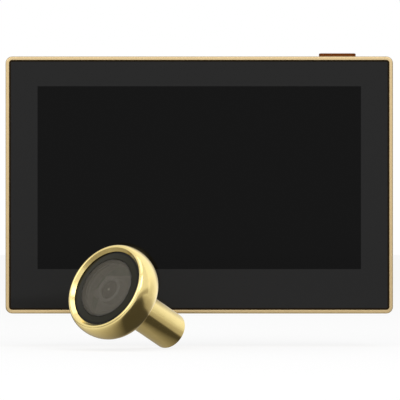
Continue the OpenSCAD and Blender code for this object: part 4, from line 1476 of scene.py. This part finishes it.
head_round = arc((SCREW_HEAD_R - SCREW_ROUND, y_back - SCREW_ROUND), (SCREW_ROUND, SCREW_ROUND),
                 0, 90, SCREW_STEPS)
screw = turned("screw", [
    (0, screws_low.y), (SCREW_R, screws_low.y + SCREW_R), (SCREW_R, head_seat), (SCREW_HEAD_R, head_seat),
    *head_round, (0, y_back)], Matrix(), "screw_steel", loop=False, steps=HOLE_STEPS)
for size in (CROSS, CROSS[::-1]):
    cut(screw, skin("cross", rounded(*size, LEAST_CORNER), [
        (CROSS_TAPER, y_back - CROSS_DEPTH), (-CROSS_TAPER, y_back + CROSS_DEPTH)], Matrix()))
screws = four("cover_screw_set", screw, screw_pitches, "screw_steel")
dress(screws, "monitor", "screw_steel", "cover_screws")

# %% [markdown]
# ## The charging socket
#
# Behind its opening lies a steel shell with a thin black tongue, and rows of
# fine contacts on both sides of the tongue. A dark hole would do from afar,
# but the monitor's right side is looked at closely, and the rows are one
# contact set out by the tree.

# %% Socket
SHELL_WALL = 0.35 * MM
SHELL_EDGE = 0.1 * MM
TONGUE_SIZE = (6.2 * MM, 0.7 * MM)
TONGUE_BACK = 1.2 * MM
CONTACT = (0.26 * MM, 0.06 * MM)
CONTACT_GRID = (10, 2)
CONTACT_PITCH = 0.5 * MM
CONTACT_LENGTH = 3.2 * MM

in_socket = facing_right(usb_mid.y, usb_mid.z)
shell = skin("socket_shell", pill(*usb_size), [
    (SHELL_WALL, usb_low.x + SHELL_WALL), (SHELL_WALL, usb_high.x - SHELL_EDGE),
    (SHELL_WALL - SHELL_EDGE, usb_high.x), (SHELL_EDGE, usb_high.x), (0, usb_high.x - SHELL_EDGE),
    (0, usb_low.x)], in_socket, "sheet_steel")
tongue_end = usb_high.x - TONGUE_BACK
tongue = skin("socket_tongue", rounded(*TONGUE_SIZE, TONGUE_SIZE[1] / 3), [
    (0, usb_low.x + SHELL_WALL), (0, tongue_end - SHELL_EDGE), (SHELL_EDGE, tongue_end)],
    in_socket, "dark_plastic")
contact = skin("contact", rounded(*CONTACT, LEAST_CORNER / 4), [
    (0, tongue_end - CONTACT_LENGTH), (0, tongue_end - 2 * SHELL_EDGE)], Matrix())
contacts = set_out("socket_contacts", contact, CONTACT_GRID, (CONTACT_PITCH, TONGUE_SIZE[1]),
                   in_socket, "gold_band")
dress(shell, "monitor", "sheet_steel", "usb_socket")
dress(tongue, "monitor", "dark_plastic")
dress(contacts, "monitor", "gold_band")

# %% [markdown]
# ## The door bracket
#
# A pressed steel plate is screwed to the door. It could be a box with bevels,
# but a stack of four rings gives it large round corners and the fine broken
# edge that a press leaves on sheet metal.

# %% Plate
PLATE_CORNER = 5 * MM
PLATE_EDGE = 0.2 * MM

plate_low, plate_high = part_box("door_bracket")
plate_outline = rounded(plate_high.x - plate_low.x, plate_high.z - plate_low.z, PLATE_CORNER)
plate = skin("bracket_plate", plate_outline, [
    (PLATE_EDGE, plate_high.y), (0, plate_high.y - PLATE_EDGE),
    (0, plate_low.y + PLATE_EDGE), (PLATE_EDGE, plate_low.y)], facing_room(), "sheet_steel")
print("plate:", [round(side / MM, 1) for side in plate_high - plate_low], "mm")

# %% [markdown]
# The barrel's way through the door is the hole in the middle, four screws hold
# the plate, and each hook has a window above it, where the press took its metal.
# Dark discs could stand for holes, but cut ones show what lies behind. The
# round ones take their sizes from the mounts.

# %% Holes and windows in the plate
WINDOW_CORNER = 0.5 * MM

wall_screws = MOUNTS["bracket_screws"]["dims"]
wall_screw_pitches = (wall_screws["spacing_x_mm"] * MM, wall_screws["spacing_y_mm"] * MM)
window_size = (HOOK_W, HOOK_LIP + HOOK_T)
window_z = hook_mid_z + HOOK_T + window_size[1] / 2


def through_plate(name, outline, place_at=Matrix()):
    """A cutter through the plate, flared at the room side."""
    face = plate_low.y
    return skin(name, outline, [
        (-FLARE - REACH, face - REACH), (0, face + FLARE), (0, plate_high.y + REACH)], place_at)


door_hole_r = MOUNTS["door_hole"]["dims"]["r_mm"] * MM
door_hole = through_plate("door_hole", disc(door_hole_r), facing_room())
wall_hole = through_plate("hole", disc(wall_screws["hole_r_mm"] * MM, HOLE_STEPS))
plate_window = through_plate("window", rounded(*window_size, WINDOW_CORNER))
cut(plate, door_hole,
    four("wall_screw_holes", wall_hole, wall_screw_pitches, "sheet_steel"),
    four("plate_windows", plate_window, hook_pitches, "sheet_steel", window_z))
dress(plate, "bracket", "sheet_steel", "door_bracket")

# %% [markdown]
# The hooks are tabs that the press turns out of the plate, with a bend at the
# root and another below the lip. Plate and hooks could be folded from one sheet,
# but a hook drawn from its side and given its width has clean bends.

# %% Hooks
BEND_R = 0.5 * MM
ROOT_R = 0.4 * MM
TIP_R = 0.35 * MM
HOOK_EDGE = 0.12 * MM


def hook_side(inset):
    """The side of one hook as (depth, height) points, from the plate's face to the lip and back."""
    face, front, back = plate_low.y, hooks_low.y, hooks_low.y + HOOK_T
    bend, lip_z = (back + BEND_R, HOOK_T + BEND_R), HOOK_T + HOOK_LIP - TIP_R
    root, outer, inner, tip = ROOT_R + inset, HOOK_T + BEND_R - inset, BEND_R + inset, TIP_R - inset
    return [
        *arc((face - ROOT_R, -ROOT_R), (root, root), math.degrees(math.acos(ROOT_R / root)), 90),
        *arc(bend, (outer, outer), 270, 180),
        *arc((front + TIP_R, lip_z), (tip, tip), 180, 90),
        *arc((back - TIP_R, lip_z), (tip, tip), 90, 0),
        *arc(bend, (inner, inner), 180, 270),
        (face, HOOK_T - inset),
    ]


# Lays the hook's width along u, its height along v and its depth along h
along_x = Matrix(((0, 0, 1, 0), (0, 1, 0, 0), (1, 0, 0, 0), (0, 0, 0, 1)))
hook = skin("hook", hook_side, [
    (HOOK_EDGE, -HOOK_W / 2), (0, HOOK_EDGE - HOOK_W / 2),
    (0, HOOK_W / 2 - HOOK_EDGE), (HOOK_EDGE, HOOK_W / 2)], along_x)
hooks = four("bracket_hook_set", hook, hook_pitches, "sheet_steel", hook_mid_z)
dress(hooks, "bracket", "sheet_steel", "bracket_hooks")

# %% [markdown]
# ## The camera unit
#
# Everything on the camera unit is turned about one axis, so its pieces are
# half outlines on the lathe. The frame gives that axis, and the radius and
# the reach of each piece are measured on its solid. Subdivided cylinders would
# come close, but polished gold shows every flat spot, so the round stretches
# are true arcs with many fine steps.

# %% The camera's axis
CAMERA = Matrix.Translation(window_mid) @ facing.to_track_quat("Z", "Y").to_matrix().to_4x4()


def measure(node):
    """A node's widest radius, and its lowest and highest height along the camera's axis."""
    into = CAMERA.inverted()
    points = [into @ point.co for point in NODES[node].data.vertices]
    heights = [point.z for point in points]
    return max(point.xy.length for point in points), min(heights), max(heights)


head_r, head_back, crest = measure("head_shell")
ring_r, ring_low, ring_top = measure("window_ring")
window_r, window_low, window_top = measure("lens_window")
barrel_r, barrel_end, spigot_end = measure("barrel_tube")
seal_r, neck, seal_top = measure("door_gasket")
print("head:", round(head_r / MM, 2), "mm radius, barrel end at", round(barrel_end / MM, 2), "mm")

# %% [markdown]
# The head swells from a flat back to its widest line and closes in to a round
# crest. Inside the crest a slope runs down to the window ring. It could be a
# squashed ball, but two elliptic arcs, a round one and a slope follow the real
# outline, and the slope mirrors the room and not the black ring.

# %% Head
FINE_STEPS = 28
WIDEST = -3.6 * MM
BACK_R = 12.2 * MM
RIM_W = 1.3 * MM
CREST_ROUND = 0.5 * MM
RIM_SLOPE = 45
FIT = 0.05 * MM
SEAL_W = 1.3 * MM
SEAL_T = 0.6 * MM
STEP_W = 1.6 * MM
BACK_WALL = 2.1 * MM
SPIGOT_R = 5.2 * MM

seat_r = ring_r + FIT
crest_r = seat_r + RIM_W
slope_w = RIM_W - CREST_ROUND * math.sin(math.radians(RIM_SLOPE))
slope_h = slope_w * math.tan(math.radians(RIM_SLOPE))
rim_foot = crest - CREST_ROUND * (1 - math.cos(math.radians(RIM_SLOPE))) - slope_h
cavity_r = ring_r - SEAL_W
ledge = ring_low - SEAL_T
floor_h = head_back + BACK_WALL
step = measure("sensor_board")[1]
head = turned("head_body", [
    (SPIGOT_R + FIT, head_back),
    *arc((BACK_R, WIDEST), (head_r - BACK_R, WIDEST - head_back), -90, 0, FINE_STEPS),
    *arc((crest_r, WIDEST), (head_r - crest_r, crest - WIDEST), 0, 90, FINE_STEPS)[1:],
    *arc((crest_r, crest - CREST_ROUND), (CREST_ROUND, CREST_ROUND), 90, 90 + RIM_SLOPE, FINE_STEPS)[1:],
    (seat_r, rim_foot), (seat_r, ledge), (cavity_r, ledge), (cavity_r, step),
    (cavity_r - STEP_W, step), (cavity_r - STEP_W, floor_h), (SPIGOT_R + FIT, floor_h),
], CAMERA, "gold_camera")
dress(head, "camera_unit", "gold_camera", "head_shell")

# %% [markdown]
# A black ring holds the smoked window and falls away to the rim. A flat ring
# would mirror the gold beside it, and the fall turns its face to the dark. Its
# edges are broken a little, and the window has a polished chamfer. The ring's
# finish turns near black at its outer edge, as a painted shadow of the gap to
# the gold.

# %% Ring and window
RING_FALL = 0.4 * MM
RING_BREAK = 0.1 * MM
WINDOW_LAP = 1.0 * MM
WINDOW_EDGE = 0.08 * MM

ring_edge = ring_top - RING_FALL
ring_in = window_r + FIT
lap_r = window_r - WINDOW_LAP
ring = turned("window_ring_turned", [
    (ring_r, ring_low), (ring_r, ring_edge - RING_BREAK), (ring_r - RING_BREAK, ring_edge),
    (ring_in + RING_BREAK, ring_top), (ring_in, ring_top - RING_BREAK),
    (ring_in, window_low), (lap_r, window_low), (lap_r, ring_low)], CAMERA, "black_ring")
window = turned("lens_window_disc", [
    (0, window_low), (window_r, window_low), (window_r, window_top - WINDOW_EDGE),
    (window_r - WINDOW_EDGE, window_top), (0, window_top)], CAMERA, "smoked_glass", loop=False)
dress(ring, "camera_unit", "black_ring", "window_ring")
dress(window, "camera_unit", "smoked_glass", "lens_window")

# %% [markdown]
# The barrel is a plain tube with a rounded end, and a rubber gasket seals the
# head against the door. A closed cylinder would do from the front, but from
# behind the bore and the step of the neck are in full view.

# %% Barrel and gasket
BARREL_ROUND = 0.6 * MM
BORE_ROUND = 0.3 * MM
CABLE_R = 3.4 * MM
NECK_R = 6.0 * MM
SEAL_ROUND = 0.35 * MM

bore_r = MOUNTS["barrel_thread"]["dims"]["r_mm"] * MM
bore_length = MOUNTS["barrel_thread"]["dims"]["length_mm"] * MM
bore_end = barrel_end + bore_length
barrel = turned("barrel_body", [
    *arc((bore_r + BORE_ROUND, barrel_end + BORE_ROUND), (BORE_ROUND, BORE_ROUND), 180, 270),
    *arc((barrel_r - BARREL_ROUND, barrel_end + BARREL_ROUND), (BARREL_ROUND, BARREL_ROUND), -90, 0),
    (barrel_r, neck), (NECK_R, neck), (NECK_R, head_back), (SPIGOT_R, head_back), (SPIGOT_R, spigot_end),
    (CABLE_R, spigot_end), (CABLE_R, bore_end), (bore_r, bore_end)], CAMERA, "gold_camera")
dress(barrel, "camera_unit", "gold_camera", "barrel_tube")

seal = turned("door_gasket_ring", [
    (NECK_R + FIT, neck),
    *arc((seal_r - SEAL_ROUND, neck + SEAL_ROUND), (SEAL_ROUND, SEAL_ROUND), -90, 0),
    *arc((seal_r - SEAL_ROUND, seal_top - SEAL_ROUND), (SEAL_ROUND, SEAL_ROUND), 0, 90),
    (NECK_R + FIT, seal_top)], CAMERA, "rubber")
dress(seal, "camera_unit", "rubber", "door_gasket")

# %% [markdown]
# The bore is threaded for the clamp bolt. A bump could suggest that thread, but
# a ridge swept along a spiral by a third tree is a real shape.

# %% Thread in the bore
THREAD_PITCH = 1.0 * MM
THREAD_RIDGE = 0.42 * MM
THREAD_TURN_STEPS = 40
RIDGE_SIDES = 4


def build_thread():
    tree, ids, takes = new_tree(
        "thread", ("Turns", FLOAT), ("Steps", WHOLE), ("Radius", FLOAT), ("Length", FLOAT),
        ("Ridge", FLOAT), ("Finish", MATERIAL))
    spiral = place(tree, "GeometryNodeCurveSpiral", {
        "Resolution": takes["Steps"], "Rotations": takes["Turns"], "Start Radius": takes["Radius"],
        "End Radius": takes["Radius"], "Height": takes["Length"]})
    side = place(tree, "GeometryNodeCurvePrimitiveCircle", {
        "Resolution": RIDGE_SIDES, "Radius": takes["Ridge"]})
    swept = place(tree, "GeometryNodeCurveToMesh", {
        "Curve": spiral.outputs["Curve"], "Profile Curve": side.outputs["Curve"], "Fill Caps": True})
    end_tree(tree, swept.outputs["Mesh"], takes["Finish"])
    return tree, ids


thread_length = bore_length - 2 * THREAD_PITCH
thread = grow("barrel_thread", *build_thread(), {
    "Turns": thread_length / THREAD_PITCH, "Steps": THREAD_TURN_STEPS, "Radius": bore_r,
    "Length": thread_length, "Ridge": THREAD_RIDGE, "Finish": FINISH["gold_camera"],
}, CAMERA @ Matrix.Translation((0, 0, barrel_end + THREAD_PITCH)))
dress(thread, "camera_unit", "gold_camera")

# %% [markdown]
# ## Sizes
#
# The surfaces must not change the object's size, so the box of the solids and
# the box of the finished pieces are printed side by side.

# %% Print both boxes
visual_low, visual_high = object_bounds()
boxes = {"cad": [list(cad_low), list(cad_high)], "visual": [list(visual_low), list(visual_high)]}
for name, (low, high) in boxes.items():
    print(name, [round((b - a) / MM, 2) for a, b in zip(low, high)], "mm")
